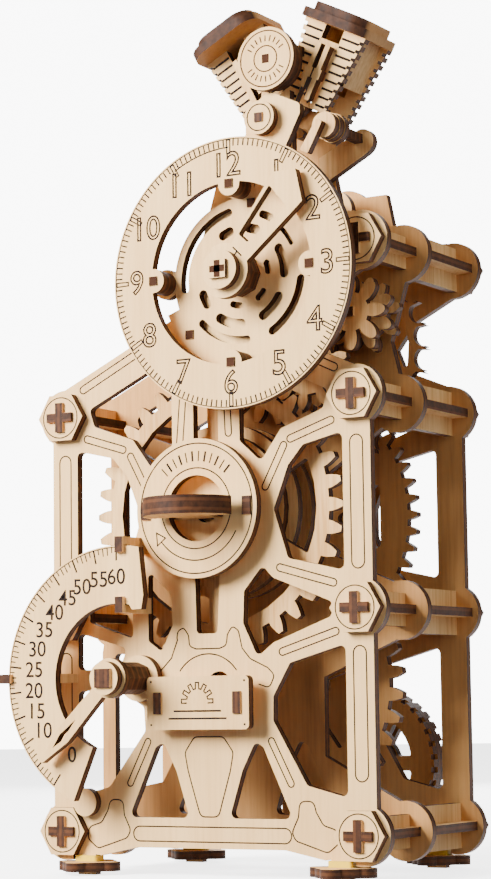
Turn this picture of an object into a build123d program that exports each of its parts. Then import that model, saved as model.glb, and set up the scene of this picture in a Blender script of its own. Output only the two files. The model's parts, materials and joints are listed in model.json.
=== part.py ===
from build123d import *
import os
from math import acos, atan2, cos, degrees, pi, radians, sin, sqrt, tan

# A wooden mechanical clock that is put together from laser-cut plywood: three upright
# plates on seven cross-shaped rods, a gear train between them, an hour dial, a minute
# scale, a winding key, a pendulum behind and a two-cylinder engine on top.
# Millimetres. +X is to the clock's right as seen from the front, +Y goes to the back,
# +Z is up. While the pieces are drawn, x = 0 is the frame's centre line, y = 0 is the
# front plate's front face and z = 0 is the height of the lowest rods. The last step
# moves every piece so that the origin is at the middle of the base.

# ---- driving dimensions ----
ply = 3.0                # plywood thickness
fit_gap = 0.05           # gap on each side of a tenon in its hole
run_gap = 0.06           # gap round a turning arbor, corner to hole
free_gap = 0.5           # gap between pieces that pass each other

front_bay = 26.5         # clear depth between front and middle plates
back_bay = 35.5          # clear depth between middle and back plates
rod_half_span = 56.0     # from the centre line to the side rods
rod_heights = [0.0, 71.3, 139.2]
top_rod = (58.8, 188.8)  # the seventh rod, beside the dial
lobe_r = 9.7             # rounded ends of the plates round each rod
post_inner = 51.0        # inner edge of the side posts
post_outer = 61.0        # outer edge of the side posts
rod_tenon = 10.0         # width of the rod where it passes the end plates
rod_front_width = 10.8   # width of the rod in the front bay
rod_back_width = 15.0    # width of the rod in the back bay
nut_r = 9.0              # hexagonal nut, centre to corner
tenon_proud = 1.0        # how far the rod ends stand out of the nuts

foot_x = 48.0            # feet, from the centre line
foot_r = 9.0             # foot disc, without its lobes
foot_tab = 7.0           # width of the plate's tab that goes through the foot
foot_drop = 10.0         # from the lowest rods to the foot disc
band_height = 2.1        # rubber band round the tab, above the foot disc
tab_below = 1.3          # how far the tab stands below the foot disc

key_axis = (0.0, 105.2)  # winding arbor and main wheel
dial_axis = (16.6, 180.9)
scale_axis = (-25.0, 50.3)
arbor = 6.0              # square arbor of two plies
peg = 3.0                # square peg of one ply

big_module = 2.5
fine_module = 1.85
backlash = 0.45          # tooth thinning at the pitch circle
main_teeth, lower_idler_teeth, hour_teeth, upper_idler_teeth, crank_teeth = 36, 10, 18, 8, 8
second_pinion_teeth, second_wheel_teeth, third_pinion_teeth = 10, 34, 12
third_wheel_teeth, escape_pinion_teeth = 48, 15
drive_teeth, petal_pinion_teeth = 20, 8
escape_teeth = 30
escape_r = 40.2

dial_r, dial_bore_r = 44.7, 30.0
dial_stand = 5.0         # from the inner plate to the back of the dial ring
inner_plate_r = 30.2
knob_r, knob_bore_r = 22.9, 10.8
scale_r, scale_bore_r = 43.4, 24.4
pointer_reach = 38.0
name_width, name_height = 38.6, 17.2
pendulum_length = 191.5
bob_r = 26.0
cylinder_lean = 27.0     # lean of each cylinder from upright
head_width, head_depth = 27.0, 27.0
head_reach = 42.5        # up each cylinder from where the two meet, to the underside of its head
column_gap = 7.4         # between the two finned columns of one cylinder

# ---- places that follow from them ----
front_y = 0.0
middle_y = front_y + ply + front_bay
back_y = middle_y + ply + back_bay
rear_face = back_y + ply
side_rods = [(side * rod_half_span, z) for side in (-1, 1) for z in rod_heights]
rods = side_rods + [top_rod]
foot_top = -foot_drop
foot_bottom = foot_top - ply
rest_z = foot_bottom - tab_below


def centre_distance(module, teeth_a, teeth_b):
    return module * (teeth_a + teeth_b) / 2


def step_from(start, length, bearing):
    """The point at a length from start, on a bearing in degrees clockwise from up."""
    return (start[0] + length * sin(radians(bearing)), start[1] + length * cos(radians(bearing)))


def bearing_to(start, end):
    return degrees(atan2(end[0] - start[0], end[1] - start[1]))


def third_corner(start, end, from_start, from_end):
    """The point at two lengths from two others, on the right of the line that joins them."""
    span = sqrt((end[0] - start[0]) ** 2 + (end[1] - start[1]) ** 2)
    along = (from_start ** 2 - from_end ** 2 + span ** 2) / (2 * span)
    aside = sqrt(from_start ** 2 - along ** 2)
    bearing = bearing_to(start, end)
    return step_from(step_from(start, along, bearing), aside, bearing + 90)


dial_lean = 7.9          # bearing of the crank from the dial
lower_idler_axis = third_corner(
    key_axis, dial_axis, centre_distance(big_module, main_teeth, lower_idler_teeth),
    centre_distance(big_module, lower_idler_teeth, hour_teeth),
)
upper_idler_axis = step_from(dial_axis, centre_distance(big_module, hour_teeth, upper_idler_teeth), dial_lean)
crank_axis = step_from(upper_idler_axis, centre_distance(big_module, upper_idler_teeth, crank_teeth), dial_lean)
cylinder_foot = (crank_axis[0] + 2.6, crank_axis[1] - 7.8)
second_axis = step_from(key_axis, centre_distance(big_module, main_teeth, second_pinion_teeth), 175.8)
escape_axis = step_from(key_axis, centre_distance(fine_module, third_wheel_teeth, escape_pinion_teeth), 13.9)
petal_axis = step_from(escape_axis, centre_distance(big_module, drive_teeth, petal_pinion_teeth), 79.7)
pendulum_axis = (18.0, escape_axis[1] + escape_r + free_gap + 9.5)

# depths of the layers, each the front face of one ply
wheel_y = front_y + ply + 4.0          # main, hour, crank and second pinion in one plane
drive_y = middle_y - ply - 2.5         # drive gear and petal pinion
second_wheel_y = middle_y + ply + 11.5
third_wheel_y = back_y - ply - 2.0
escape_y = third_wheel_y - 2 * ply
inner_plate_y = front_y - ply
dial_y = inner_plate_y - dial_stand - ply
hand_y = dial_y - ply - 1.0
knob_y = front_y - 2 * ply - 0.5
name_y = front_y - 4.0 - ply
scale_y = front_y - 16.0
hook_stand = 1.5         # how far the clips stand in front of the minute scale
pointer_y = scale_y - hook_stand - free_gap - ply
pendulum_y = rear_face + ply + tenon_proud + 1.0
turned_hole_r = arbor / sqrt(2) + run_gap
peg_hole_r = peg / sqrt(2) + run_gap


# ---- shapes that several pieces share ----
def facing_front(y):
    """A drawing plane at depth y whose axes are the clock's X and Z."""
    return Plane.XZ.offset(-y)


def rounded(points, corner, mode=Mode.ADD):
    """Add or cut a polygon with every corner rounded, in the sketch being drawn."""
    face = Polygon(*points, align=None, mode=Mode.PRIVATE).face()
    add(face.fillet_2d(corner, face.vertices()), mode=mode)


def mirrored(points):
    return [(-x, z) for x, z in points]


def cross_holes(places, width, mode=Mode.SUBTRACT):
    """Plus-shaped holes for the rod ends."""
    with Locations(*places):
        Rectangle(width + 2 * fit_gap, ply + 2 * fit_gap, mode=mode)
        Rectangle(ply + 2 * fit_gap, width + 2 * fit_gap, mode=mode)


def round_holes(places, radius):
    with Locations(*places):
        Circle(radius, mode=Mode.SUBTRACT)


def arc_slot(centre, radius, width, start, end):
    """Cut a curved slot with round ends between two bearings, clockwise from up."""
    turns = [start + (end - start) * k / 12 for k in range(13)]
    outer = [step_from(centre, radius + width / 2, turn) for turn in turns]
    inner = [step_from(centre, radius - width / 2, turn) for turn in reversed(turns)]
    Polygon(*outer, *inner, align=None, mode=Mode.SUBTRACT)
    round_holes([step_from(centre, radius, start), step_from(centre, radius, end)], width / 2)


def gear_points(teeth, module, start_bearing):
    """Outline of a spur gear about the origin with one tooth centred on start_bearing."""
    pressure = radians(20)
    pitch_r = module * teeth / 2
    base_r = pitch_r * cos(pressure)
    tip_r = pitch_r + 0.85 * module
    root_r = pitch_r - 1.15 * module
    inv_pitch = tan(pressure) - pressure
    half_pitch_angle = (pi * module / 2 - backlash) / (2 * pitch_r)
    flank_start = max(base_r, root_r + 0.05)
    steps = [flank_start + (tip_r - flank_start) * k / 4 for k in range(5)]
    flank = []
    for radius in steps:
        roll = acos(base_r / radius)
        flank.append((radius, half_pitch_angle + inv_pitch - (tan(roll) - roll)))
    if root_r < flank_start - 0.1:
        flank.insert(0, (root_r, flank[0][1]))
    points = []
    for tooth in range(teeth):
        middle = radians(90 - start_bearing) + 2 * pi * tooth / teeth
        rising = [(radius, middle - half) for radius, half in flank]
        falling = [(radius, middle + half) for radius, half in reversed(flank)]
        points += [(radius * cos(angle), radius * sin(angle)) for radius, angle in rising + falling]
    return points


def gear_face(centre, teeth, module, start_bearing):
    with Locations(centre):
        Polygon(*gear_points(teeth, module, start_bearing), align=None)


def meshing_bearing(driver_axis, driver_teeth, driver_bearing, axis, teeth):
    """Start bearing of a gear whose gap takes the tooth of the gear that drives it."""
    line = bearing_to(driver_axis, axis)
    pitch = 360 / driver_teeth
    offset = ((line - driver_bearing) / pitch) % 1.0
    return line + 180 + (0.5 + offset) * 360 / teeth


def square_bore(centre, size):
    with Locations(centre):
        Rectangle(size + 2 * fit_gap, size + 2 * fit_gap, mode=Mode.SUBTRACT)


def spoke_windows(centre, inner_r, outer_r, count, bar, first):
    """Cut windows between the spokes of a wheel."""
    for index in range(count):
        bearing = radians(first + index * 360 / count)
        half = pi / count
        inner_half = half - bar / 2 / inner_r
        outer_half = half - bar / 2 / outer_r
        ring = [(outer_r, bearing - outer_half + outer_half * k / 2) for k in range(5)]
        ring += [(inner_r, bearing + inner_half - inner_half * k / 2) for k in range(5)]
        points = [(centre[0] + r * sin(a), centre[1] + r * cos(a)) for r, a in ring]
        rounded(points, 0.9, Mode.SUBTRACT)


# ---- frame plates ----
side_window = [(51, 127.6), (36.6, 124.3), (31, 118), (25.5, 104), (30.6, 87.9), (51, 83.3)]
arm_window = [(46.3, 73.5), (24.8, 81.9), (21, 86), (14, 78), (13.5, 67.5), (18.8, 56.5), (24.8, 61), (46.2, 68.9)]
low_window = [(51, 60), (30.7, 54.4), (24.4, 43.8), (24.3, 36), (36.4, 15.4), (51, 11.7)]
base_window = [(17.5, 29.5), (20.5, 27.6), (31, 4.8), (7.6, 4.8), (12.5, 20)]
shoulder_window = [(46, 141.5), (44, 135.5), (28.5, 130), (21, 119.8), (13, 127), (13, 157)]
top_outline = [
    (-post_outer, 139), (-58, 148), (-8, 171.5), (0, 196), (7, 218.5), (34, 218.5), (38, 199),
    (57, 198.5), (60, 180), (44, 172), (37, 163), (40, 155.5), (58, 148), (post_outer, 139),
]


def plate_outline():
    """The outline that the front and back plates share, with tabs for the feet."""
    Polygon(
        (-post_outer, -2), *top_outline, (post_outer, -2), (43, -8), (28, -5), (-28, -5), (-43, -8), align=None
    )
    with Locations(*rods):
        Circle(lobe_r)
    for side in (-1, 1):
        with Locations((side * foot_x, foot_top + band_height / 2)):
            Rectangle(foot_tab + 4.0, band_height + 0.4, mode=Mode.SUBTRACT)
        with Locations((side * foot_x, (rest_z - 2) / 2)):
            Rectangle(foot_tab, -2 - rest_z)


def base_windows():
    for outline in (side_window, low_window, base_window, shoulder_window):
        rounded(outline, 1.8, Mode.SUBTRACT)


with BuildPart() as front_plate:
    with BuildSketch(facing_front(front_y)):
        plate_outline()
        base_windows()
        rounded(mirrored(side_window), 1.8, Mode.SUBTRACT)
        rounded(mirrored(base_window), 1.8, Mode.SUBTRACT)
        rounded(mirrored(shoulder_window), 1.8, Mode.SUBTRACT)
        rounded(arm_window, 1.8, Mode.SUBTRACT)
        rounded([(-22.9, 86), (-14, 78), (-13.5, 67.5), (-17.8, 59), (-22.9, 62.5)], 1.2, Mode.SUBTRACT)
        rounded([(-46.3, 73.5), (-29, 80.2), (-29, 63.5), (-46.2, 69.3)], 1.2, Mode.SUBTRACT)
        rounded([(-51, 66), (-31.5, 60.5), (-34.5, 53.5), (-51, 53.5)], 1.8, Mode.SUBTRACT)
        rounded([(-51, 46.5), (-34.5, 46.5), (-25, 41), (-24.5, 33), (-38.7, 14.7), (-51, 11.7)], 1.8, Mode.SUBTRACT)
        rounded([(-4.2, 64.5), (-4.6, 85), (4.9, 85), (3.8, 64.5)], 1.5, Mode.SUBTRACT)
        rounded([(-4.7, 126), (-4.7, 152), (4.9, 152), (4.9, 126)], 1.5, Mode.SUBTRACT)
        cross_holes(rods, rod_tenon)
        round_holes([key_axis, dial_axis, scale_axis, second_axis], turned_hole_r)
        round_holes([lower_idler_axis, upper_idler_axis], peg_hole_r)
    extrude(amount=-ply)

with BuildPart() as middle_plate:
    with BuildSketch(facing_front(middle_y)):
        Polygon(
            (-post_outer, 0), (-post_outer, 60), (-57, 80), (-57, 140), *top_outline[1:9], (54, 160), (57, 148),
            (post_outer, 139), (30, 118), (27, 92), (57, 79), (57, 63), (27, 50), (27, 24), (57, 8), (57, -5),
            (-43, -6), (-57, -6), align=None
        )
        with Locations(*rods, pendulum_axis):
            Circle(lobe_r)
        for outline in (side_window, base_window, shoulder_window):
            rounded(mirrored(outline), 1.8, Mode.SUBTRACT)
        rounded([(-55.8, 60), (-30.7, 54.4), (-24.4, 43.8), (-24.3, 36), (-36.4, 15.4), (-55.8, 11.7)], 1.8, Mode.SUBTRACT)
        rounded(base_window, 1.8, Mode.SUBTRACT)
        rounded([(24, 136), (44, 141), (40, 150), (26, 152)], 1.8, Mode.SUBTRACT)
        cross_holes(rods, rod_front_width)
        with Locations(crank_axis):
            Circle(9.0)
        with Locations((crank_axis[0], (dial_axis[1] + crank_axis[1]) / 2)):
            Rectangle(18.0, crank_axis[1] - dial_axis[1])
        for side in (-1, 1):
            lean = side * cylinder_lean
            foot, top = cylinder_foot, step_from(cylinder_foot, head_reach - 2, lean)
            Polygon(
                step_from(foot, -6, lean + 90), step_from(top, -6, lean + 90), step_from(top, 6, lean + 90),
                step_from(foot, 6, lean + 90), align=None
            )
        round_holes([key_axis, second_axis, escape_axis, pendulum_axis], turned_hole_r)
        round_holes([petal_axis, crank_axis], peg_hole_r)
    extrude(amount=-ply)

with BuildPart() as back_plate:
    with BuildSketch(facing_front(back_y)):
        plate_outline()
        with Locations(pendulum_axis):
            Circle(lobe_r)
        base_windows()
        for outline in (side_window, low_window, base_window, shoulder_window):
            rounded(mirrored(outline), 1.8, Mode.SUBTRACT)
        rounded(arm_window, 1.8, Mode.SUBTRACT)
        rounded(mirrored(arm_window), 1.8, Mode.SUBTRACT)
        cross_holes(rods, rod_tenon)
        round_holes([key_axis, second_axis, escape_axis, pendulum_axis], turned_hole_r)
    extrude(amount=-ply)

# ---- rods, nuts and feet ----
rod_start = front_y - ply - tenon_proud
rod_end = rear_face + ply + tenon_proud
rod_middle = middle_y + ply + 3.0


def rod_profile():
    """Half widths of a rod strip along its length, as an outline about the rod's axis."""
    stations = [
        (rod_start, rod_tenon), (front_y + ply, rod_tenon), (front_y + ply, rod_front_width),
        (middle_y + ply, rod_front_width), (middle_y + ply, rod_back_width), (back_y, rod_back_width),
        (back_y, rod_tenon), (rod_end, rod_tenon),
    ]
    right = [(width / 2, y) for y, width in stations]
    left = [(-width / 2, y) for y, width in reversed(stations)]
    return right + left


with BuildPart() as rod_flat_strips:
    for x, z in rods:
        with BuildSketch(Plane.XY.offset(z - ply / 2)):
            with Locations((x, 0)):
                Polygon(*rod_profile(), align=None)
            with Locations((x, (rod_start + rod_middle) / 2)):
                Rectangle(ply + 2 * fit_gap, rod_middle - rod_start, mode=Mode.SUBTRACT)
        extrude(amount=ply)

with BuildPart() as rod_upright_strips:
    for x, z in rods:
        with BuildSketch(Plane.YZ.offset(x - ply / 2)):
            Polygon(*[(y, z + half) for half, y in rod_profile()], align=None)
            with Locations(((rod_middle + rod_end) / 2, z)):
                Rectangle(rod_end - rod_middle, ply + 2 * fit_gap, mode=Mode.SUBTRACT)
        extrude(amount=ply)


side_stop = (-46.8, 9.6)


def nut_ring():
    with Locations(*rods):
        RegularPolygon(nut_r, 6)
    cross_holes(rods, rod_tenon)


with BuildPart() as nuts:
    for y in (front_y - ply, rear_face):
        with BuildSketch(facing_front(y)):
            nut_ring()
        extrude(amount=-ply)
    with BuildSketch(facing_front(front_y - ply)):
        with Locations(side_stop):
            Circle(4.6)
    extrude(amount=-ply)

foot_places = [(side * foot_x, y + ply / 2) for side in (-1, 1) for y in (front_y, back_y)]

with BuildPart() as feet:
    with BuildSketch(Plane.XY.offset(foot_bottom)):
        with Locations(*foot_places):
            Circle(foot_r)
            with PolarLocations(foot_r - 1.0, 4):
                Circle(3.6)
        with Locations(*foot_places):
            Rectangle(foot_tab + 2 * fit_gap, ply + 2 * fit_gap, mode=Mode.SUBTRACT)
    extrude(amount=ply)

with BuildPart() as foot_bands:
    with BuildSketch(Plane.XY.offset(foot_top + 0.05)):
        with Locations(*foot_places):
            RectangleRounded(foot_tab + 1.8, ply + 2.2, 1.0)
        with Locations(*foot_places):
            Rectangle(foot_tab + 0.1, ply + 0.1, mode=Mode.SUBTRACT)
    extrude(amount=band_height - 0.1)

# ---- main wheel on the winding axis ----
main_bearing = 0.0
drum_r = 29.0
drum_front_y = wheel_y + ply + 0.1
drum_back_y = drum_front_y + 3 * ply

with BuildPart() as main_wheel:
    with BuildSketch(facing_front(wheel_y)):
        gear_face(key_axis, main_teeth, big_module, main_bearing)
        spoke_windows(key_axis, 25.5, 37.5, 6, 7.0, 30)
        round_holes([key_axis], turned_hole_r + 0.2)
        with Locations(key_axis):
            with PolarLocations(18.0, 6):
                Rectangle(peg + 2 * fit_gap, peg + 2 * fit_gap, mode=Mode.SUBTRACT)
    extrude(amount=-ply)


def drum_side():
    with Locations(key_axis):
        Circle(drum_r)
        with PolarLocations(18.0, 6):
            Rectangle(peg + 2 * fit_gap, peg + 2 * fit_gap, mode=Mode.SUBTRACT)
    for start in (350, 110, 230):
        arc_slot(key_axis, 24.0, 3.0, start, start + 80)
    round_holes([key_axis], turned_hole_r + 0.2)


with BuildPart() as winding_drum:
    for y in (drum_front_y, drum_back_y):
        with BuildSketch(facing_front(y)):
            drum_side()
        extrude(amount=-ply)

    with BuildSketch(facing_front(wheel_y - 0.5)):
        with Locations(key_axis):
            with PolarLocations(18.0, 6):
                Rectangle(peg, peg)
    extrude(amount=-(drum_back_y + ply + 0.5 - wheel_y + 0.5))
    with BuildSketch(facing_front(drum_front_y + ply + 0.02)):
        with Locations(key_axis):
            Circle(14.5)
            Circle(9.5, mode=Mode.SUBTRACT)
    extrude(amount=-(drum_back_y - drum_front_y - ply - 0.04))

# ---- winding knob ----
key_half_height = ply
key_tenon_x = 19.2

with BuildPart() as knob_ring:
    with BuildSketch(facing_front(knob_y)):
        with Locations(key_axis):
            Circle(knob_r)
            Circle(knob_bore_r, mode=Mode.SUBTRACT)
        with Locations((key_axis[0] - key_tenon_x, key_axis[1]), (key_axis[0] + key_tenon_x, key_axis[1])):
            Rectangle(ply + 2 * fit_gap, 2 * key_half_height + 2 * fit_gap, mode=Mode.SUBTRACT)
    extrude(amount=-ply)

with BuildPart() as winding_key:
    with BuildSketch(Plane.XY.offset(key_axis[1] - key_half_height)):
        with Locations((key_axis[0], knob_y - 3.4)):
            Circle(15.5)
        with Locations((key_axis[0], knob_y + 16.6)):
            Rectangle(40, 40, mode=Mode.SUBTRACT)
        with Locations((key_axis[0], knob_y - 1.2)):
            Rectangle(14, 6.0)
        with Locations((key_axis[0], knob_y + ply / 2)):
            Rectangle(14, ply)
        with Locations((key_axis[0], knob_y + ply + 1.25)):
            Rectangle(2 * key_tenon_x + ply, 2.5)
        with Locations((key_axis[0] - key_tenon_x, knob_y + 1.2), (key_axis[0] + key_tenon_x, knob_y + 1.2)):
            Rectangle(ply, 3.6)
    extrude(amount=2 * key_half_height)

with BuildPart() as winding_arbor:
    with BuildSketch(facing_front(knob_y + ply + 2.5)):
        with Locations(key_axis):
            Rectangle(arbor, arbor)
    extrude(amount=-(middle_y + 1.4 - knob_y - ply - 2.5))

ratchet_y = wheel_y - ply - 0.5
with BuildPart() as ratchet_wheel:
    with BuildSketch(facing_front(ratchet_y)):
        points = []
        for tooth in range(12):
            points.append(step_from(key_axis, 18.0, tooth * 30))
            points.append(step_from(key_axis, 14.0, tooth * 30 + 4))
            points.append(step_from(key_axis, 14.8, tooth * 30 + 16))
        Polygon(*points, align=None)
        square_bore(key_axis, arbor)
    extrude(amount=-ply)

# ---- second arbor, low behind the name plate ----
second_bearing = meshing_bearing(key_axis, main_teeth, main_bearing, second_axis, second_pinion_teeth)
second_wheel_bearing = 0.0

with BuildPart() as second_pinion:
    with BuildSketch(facing_front(wheel_y)):
        gear_face(second_axis, second_pinion_teeth, big_module, second_bearing)
        square_bore(second_axis, arbor)
    extrude(amount=-ply)

with BuildPart() as second_wheel:
    with BuildSketch(facing_front(second_wheel_y)):
        gear_face(second_axis, second_wheel_teeth, big_module, second_wheel_bearing)
        spoke_windows(second_axis, 14.0, 30.0, 5, 7.0, 36)
        square_bore(second_axis, arbor)
    extrude(amount=-ply)

with BuildPart() as second_arbor:
    with BuildSketch(facing_front(front_y - 0.5)):
        with Locations(second_axis):
            Rectangle(arbor, arbor)
    extrude(amount=-(rear_face + 0.5 - front_y + 0.5))

# ---- third arbor, on the winding axis but behind the middle plate ----
third_bearing = meshing_bearing(second_axis, second_wheel_teeth, second_wheel_bearing, key_axis, third_pinion_teeth)
third_wheel_bearing = 0.0

with BuildPart() as third_pinion:
    with BuildSketch(facing_front(second_wheel_y)):
        gear_face(key_axis, third_pinion_teeth, big_module, third_bearing)
        square_bore(key_axis, arbor)
    extrude(amount=-ply)

with BuildPart() as third_wheel:
    with BuildSketch(facing_front(third_wheel_y)):
        gear_face(key_axis, third_wheel_teeth, fine_module, third_wheel_bearing)
        for index in range(6):
            bearing = index * 60 + 30
            left = step_from(key_axis, 34.0, bearing - 21)
            right = step_from(key_axis, 34.0, bearing + 21)
            rounded([left, right, step_from(key_axis, 14.0, bearing)], 1.5, Mode.SUBTRACT)
            round_holes([step_from(key_axis, 29.0, bearing + 30)], 2.2)
        square_bore(key_axis, arbor)
    extrude(amount=-ply)

with BuildPart() as third_arbor:
    with BuildSketch(facing_front(middle_y + 1.6)):
        with Locations(key_axis):
            Rectangle(arbor, arbor)
    extrude(amount=-(rear_face + 0.5 - middle_y - 1.6))

# ---- escape arbor ----
escape_bearing = meshing_bearing(key_axis, third_wheel_teeth, third_wheel_bearing, escape_axis, escape_pinion_teeth)
drive_bearing = 0.0

with BuildPart() as escape_wheel:
    with BuildSketch(facing_front(escape_y)):
        pitch = 360 / escape_teeth
        with Locations(escape_axis):
            Circle(escape_r - 1.0)
        for tooth in range(escape_teeth):
            middle = tooth * pitch
            round_holes([step_from(escape_axis, escape_r - 1.2, middle)], 3.9)
        for tooth in range(escape_teeth):
            tip = step_from(escape_axis, escape_r, tooth * pitch + 0.62 * pitch)
            foot_a = step_from(escape_axis, escape_r - 4.5, tooth * pitch + 0.40 * pitch)
            foot_b = step_from(escape_axis, escape_r - 4.5, tooth * pitch + 0.60 * pitch)
            Polygon(foot_a, tip, foot_b, align=None)
        spoke_windows(escape_axis, 13.0, 33.0, 5, 7.0, 0)
        square_bore(escape_axis, arbor)
    extrude(amount=-ply)

with BuildPart() as escape_pinion:
    with BuildSketch(facing_front(third_wheel_y)):
        gear_face(escape_axis, escape_pinion_teeth, fine_module, escape_bearing)
        square_bore(escape_axis, arbor)
    extrude(amount=-ply)

with BuildPart() as drive_gear:
    with BuildSketch(facing_front(drive_y)):
        gear_face(escape_axis, drive_teeth, big_module, drive_bearing)
        round_holes([step_from(escape_axis, 14.0, k * 60) for k in range(6)], 3.2)
        square_bore(escape_axis, arbor)
    extrude(amount=-ply)

with BuildPart() as escape_arbor:
    with BuildSketch(facing_front(drive_y - 0.5)):
        with Locations(escape_axis):
            Rectangle(arbor, arbor)
    extrude(amount=-(rear_face + 0.5 - drive_y + 0.5))

# ---- petal gears beside the dial ----
petal_bearing = meshing_bearing(escape_axis, drive_teeth, drive_bearing, petal_axis, petal_pinion_teeth)
petal_front_y = wheel_y + 5.0

with BuildPart() as petal_pinion:
    with BuildSketch(facing_front(drive_y)):
        gear_face(petal_axis, petal_pinion_teeth, big_module, petal_bearing)
        square_bore(petal_axis, peg)
    extrude(amount=-ply)


def petal_disc(turn):
    with Locations(petal_axis):
        Circle(6.5)
        with PolarLocations(8.6, 8, start_angle=turn):
            Ellipse(4.0, 2.2)
    square_bore(petal_axis, peg)


with BuildPart() as petal_discs:
    for y, turn in ((petal_front_y, 0), (petal_front_y + 2 * ply, 22.5)):
        with BuildSketch(facing_front(y)):
            petal_disc(turn)
        extrude(amount=-ply)

with BuildPart() as petal_arbor:
    with BuildSketch(facing_front(petal_front_y - 1.0)):
        with Locations(petal_axis):
            Rectangle(peg, peg)
    extrude(amount=-(middle_y + ply + 0.5 - petal_front_y + 1.0))

# ---- hour hand, turned through an idler; a second idler goes on to the engine ----
lower_idler_bearing = meshing_bearing(key_axis, main_teeth, main_bearing, lower_idler_axis, lower_idler_teeth)
hour_bearing = meshing_bearing(lower_idler_axis, lower_idler_teeth, lower_idler_bearing, dial_axis, hour_teeth)
upper_idler_bearing = meshing_bearing(dial_axis, hour_teeth, hour_bearing, upper_idler_axis, upper_idler_teeth)
crank_bearing = meshing_bearing(upper_idler_axis, upper_idler_teeth, upper_idler_bearing, crank_axis, crank_teeth)
hand_points = [(0.4, 5.1), (18.8, 30.1), (27.1, 30.2), (29.4, 19.5), (7.4, 1.1)]
hand_slot = [(5.8, 11.3), (17.4, 26.0), (23.6, 18.4), (9.0, 8.3)]

with BuildPart() as lower_idler:
    with BuildSketch(facing_front(wheel_y)):
        gear_face(lower_idler_axis, lower_idler_teeth, big_module, lower_idler_bearing)
        square_bore(lower_idler_axis, peg)
    extrude(amount=-ply)
    with BuildSketch(facing_front(front_y - ply - 1.2)):
        with Locations(lower_idler_axis):
            Rectangle(peg, peg)
    extrude(amount=-(drive_y - 2.0 - front_y + ply + 1.2))
    with BuildSketch(facing_front(front_y - ply - 0.3)):
        with Locations(lower_idler_axis):
            Circle(3.8)
        square_bore(lower_idler_axis, peg)
    extrude(amount=-ply)

with BuildPart() as upper_idler:
    with BuildSketch(facing_front(wheel_y)):
        gear_face(upper_idler_axis, upper_idler_teeth, big_module, upper_idler_bearing)
        square_bore(upper_idler_axis, peg)
    extrude(amount=-ply)
    with BuildSketch(facing_front(front_y + 0.2)):
        with Locations(upper_idler_axis):
            Rectangle(peg, peg)
    extrude(amount=-(drive_y - 2.0 - front_y - 0.2))

with BuildPart() as hour_wheel:
    with BuildSketch(facing_front(wheel_y)):
        gear_face(dial_axis, hour_teeth, big_module, hour_bearing)
        spoke_windows(dial_axis, 9.0, 15.5, 5, 4.5, 0)
        square_bore(dial_axis, arbor)
    extrude(amount=-ply)

with BuildPart() as hour_arbor:
    with BuildSketch(facing_front(hand_y - ply - 1.2)):
        with Locations(dial_axis):
            Rectangle(arbor, arbor)
    extrude(amount=-(drive_y - 2.0 - hand_y + ply + 1.2))

with BuildPart() as hour_collars:
    with BuildSketch(facing_front(hand_y + ply + 0.02)):
        with Locations(dial_axis):
            RegularPolygon(7.2, 8)
        square_bore(dial_axis, arbor)
    extrude(amount=-(inner_plate_y - hand_y - ply - 0.3))
    with BuildSketch(facing_front(hand_y - ply)):
        with Locations(dial_axis):
            Circle(6.4)
        square_bore(dial_axis, arbor)
    extrude(amount=-(ply - 0.02))

with BuildPart() as hour_hand:
    with BuildSketch(facing_front(hand_y)):
        with Locations(dial_axis):
            Circle(9.0)
        Polygon(*[(dial_axis[0] + x, dial_axis[1] + z) for x, z in hand_points], align=None)
        rounded([(dial_axis[0] + x, dial_axis[1] + z) for x, z in hand_slot], 0.5, Mode.SUBTRACT)
        square_bore(dial_axis, arbor)
    extrude(amount=-ply)

# ---- dial ----
tab_bearings = (0, 90, 180, 270)
tab_places = [step_from(dial_axis, dial_bore_r - 0.6, bearing) for bearing in tab_bearings]
inner_pegs = [step_from(dial_axis, 27.0, 229), step_from(dial_axis, 24.2, 9)]

with BuildPart() as dial_ring:
    with BuildSketch(facing_front(dial_y)):
        with Locations(dial_axis):
            Circle(dial_r)
            Circle(dial_bore_r, mode=Mode.SUBTRACT)
        with Locations(*tab_places):
            Circle(4.0)
        with Locations(*tab_places):
            Rectangle(peg + 2 * fit_gap, peg + 2 * fit_gap, mode=Mode.SUBTRACT)
    extrude(amount=-ply)

with BuildPart() as dial_inner_plate:
    with BuildSketch(facing_front(inner_plate_y)):
        with Locations(dial_axis):
            Circle(inner_plate_r - 4.2)
        with Locations(*tab_places, step_from(dial_axis, 24.2, 9)):
            Circle(5.0)
        full_side = [step_from(dial_axis, inner_plate_r + 0.5, bearing) for bearing in range(10, 251, 10)]
        Polygon(dial_axis, *full_side, align=None)
        for start, end in ((-96, -13), (98, 150)):
            arc_slot(dial_axis, 22.1, 2.8, start, end)
        for start, end in ((176, 227), (22, 31)):
            arc_slot(dial_axis, 21.2, 2.6, start, end)
        arc_slot(dial_axis, 20.6, 1.6, 48, 64)
        for start, end in ((121, 151), (61, 92), (182, 213), (239, 252), (11, 20), (-27, -17)):
            arc_slot(dial_axis, 15.8, 3.2, start, end)
        for start, end in ((70, 86), (127, 142), (186, 202)):
            arc_slot(dial_axis, 9.8, 2.2, start, end)
        with Locations(*tab_places, *inner_pegs):
            Rectangle(peg + 2 * fit_gap, peg + 2 * fit_gap, mode=Mode.SUBTRACT)
        round_holes([dial_axis], turned_hole_r)
    extrude(amount=-ply)

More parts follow.
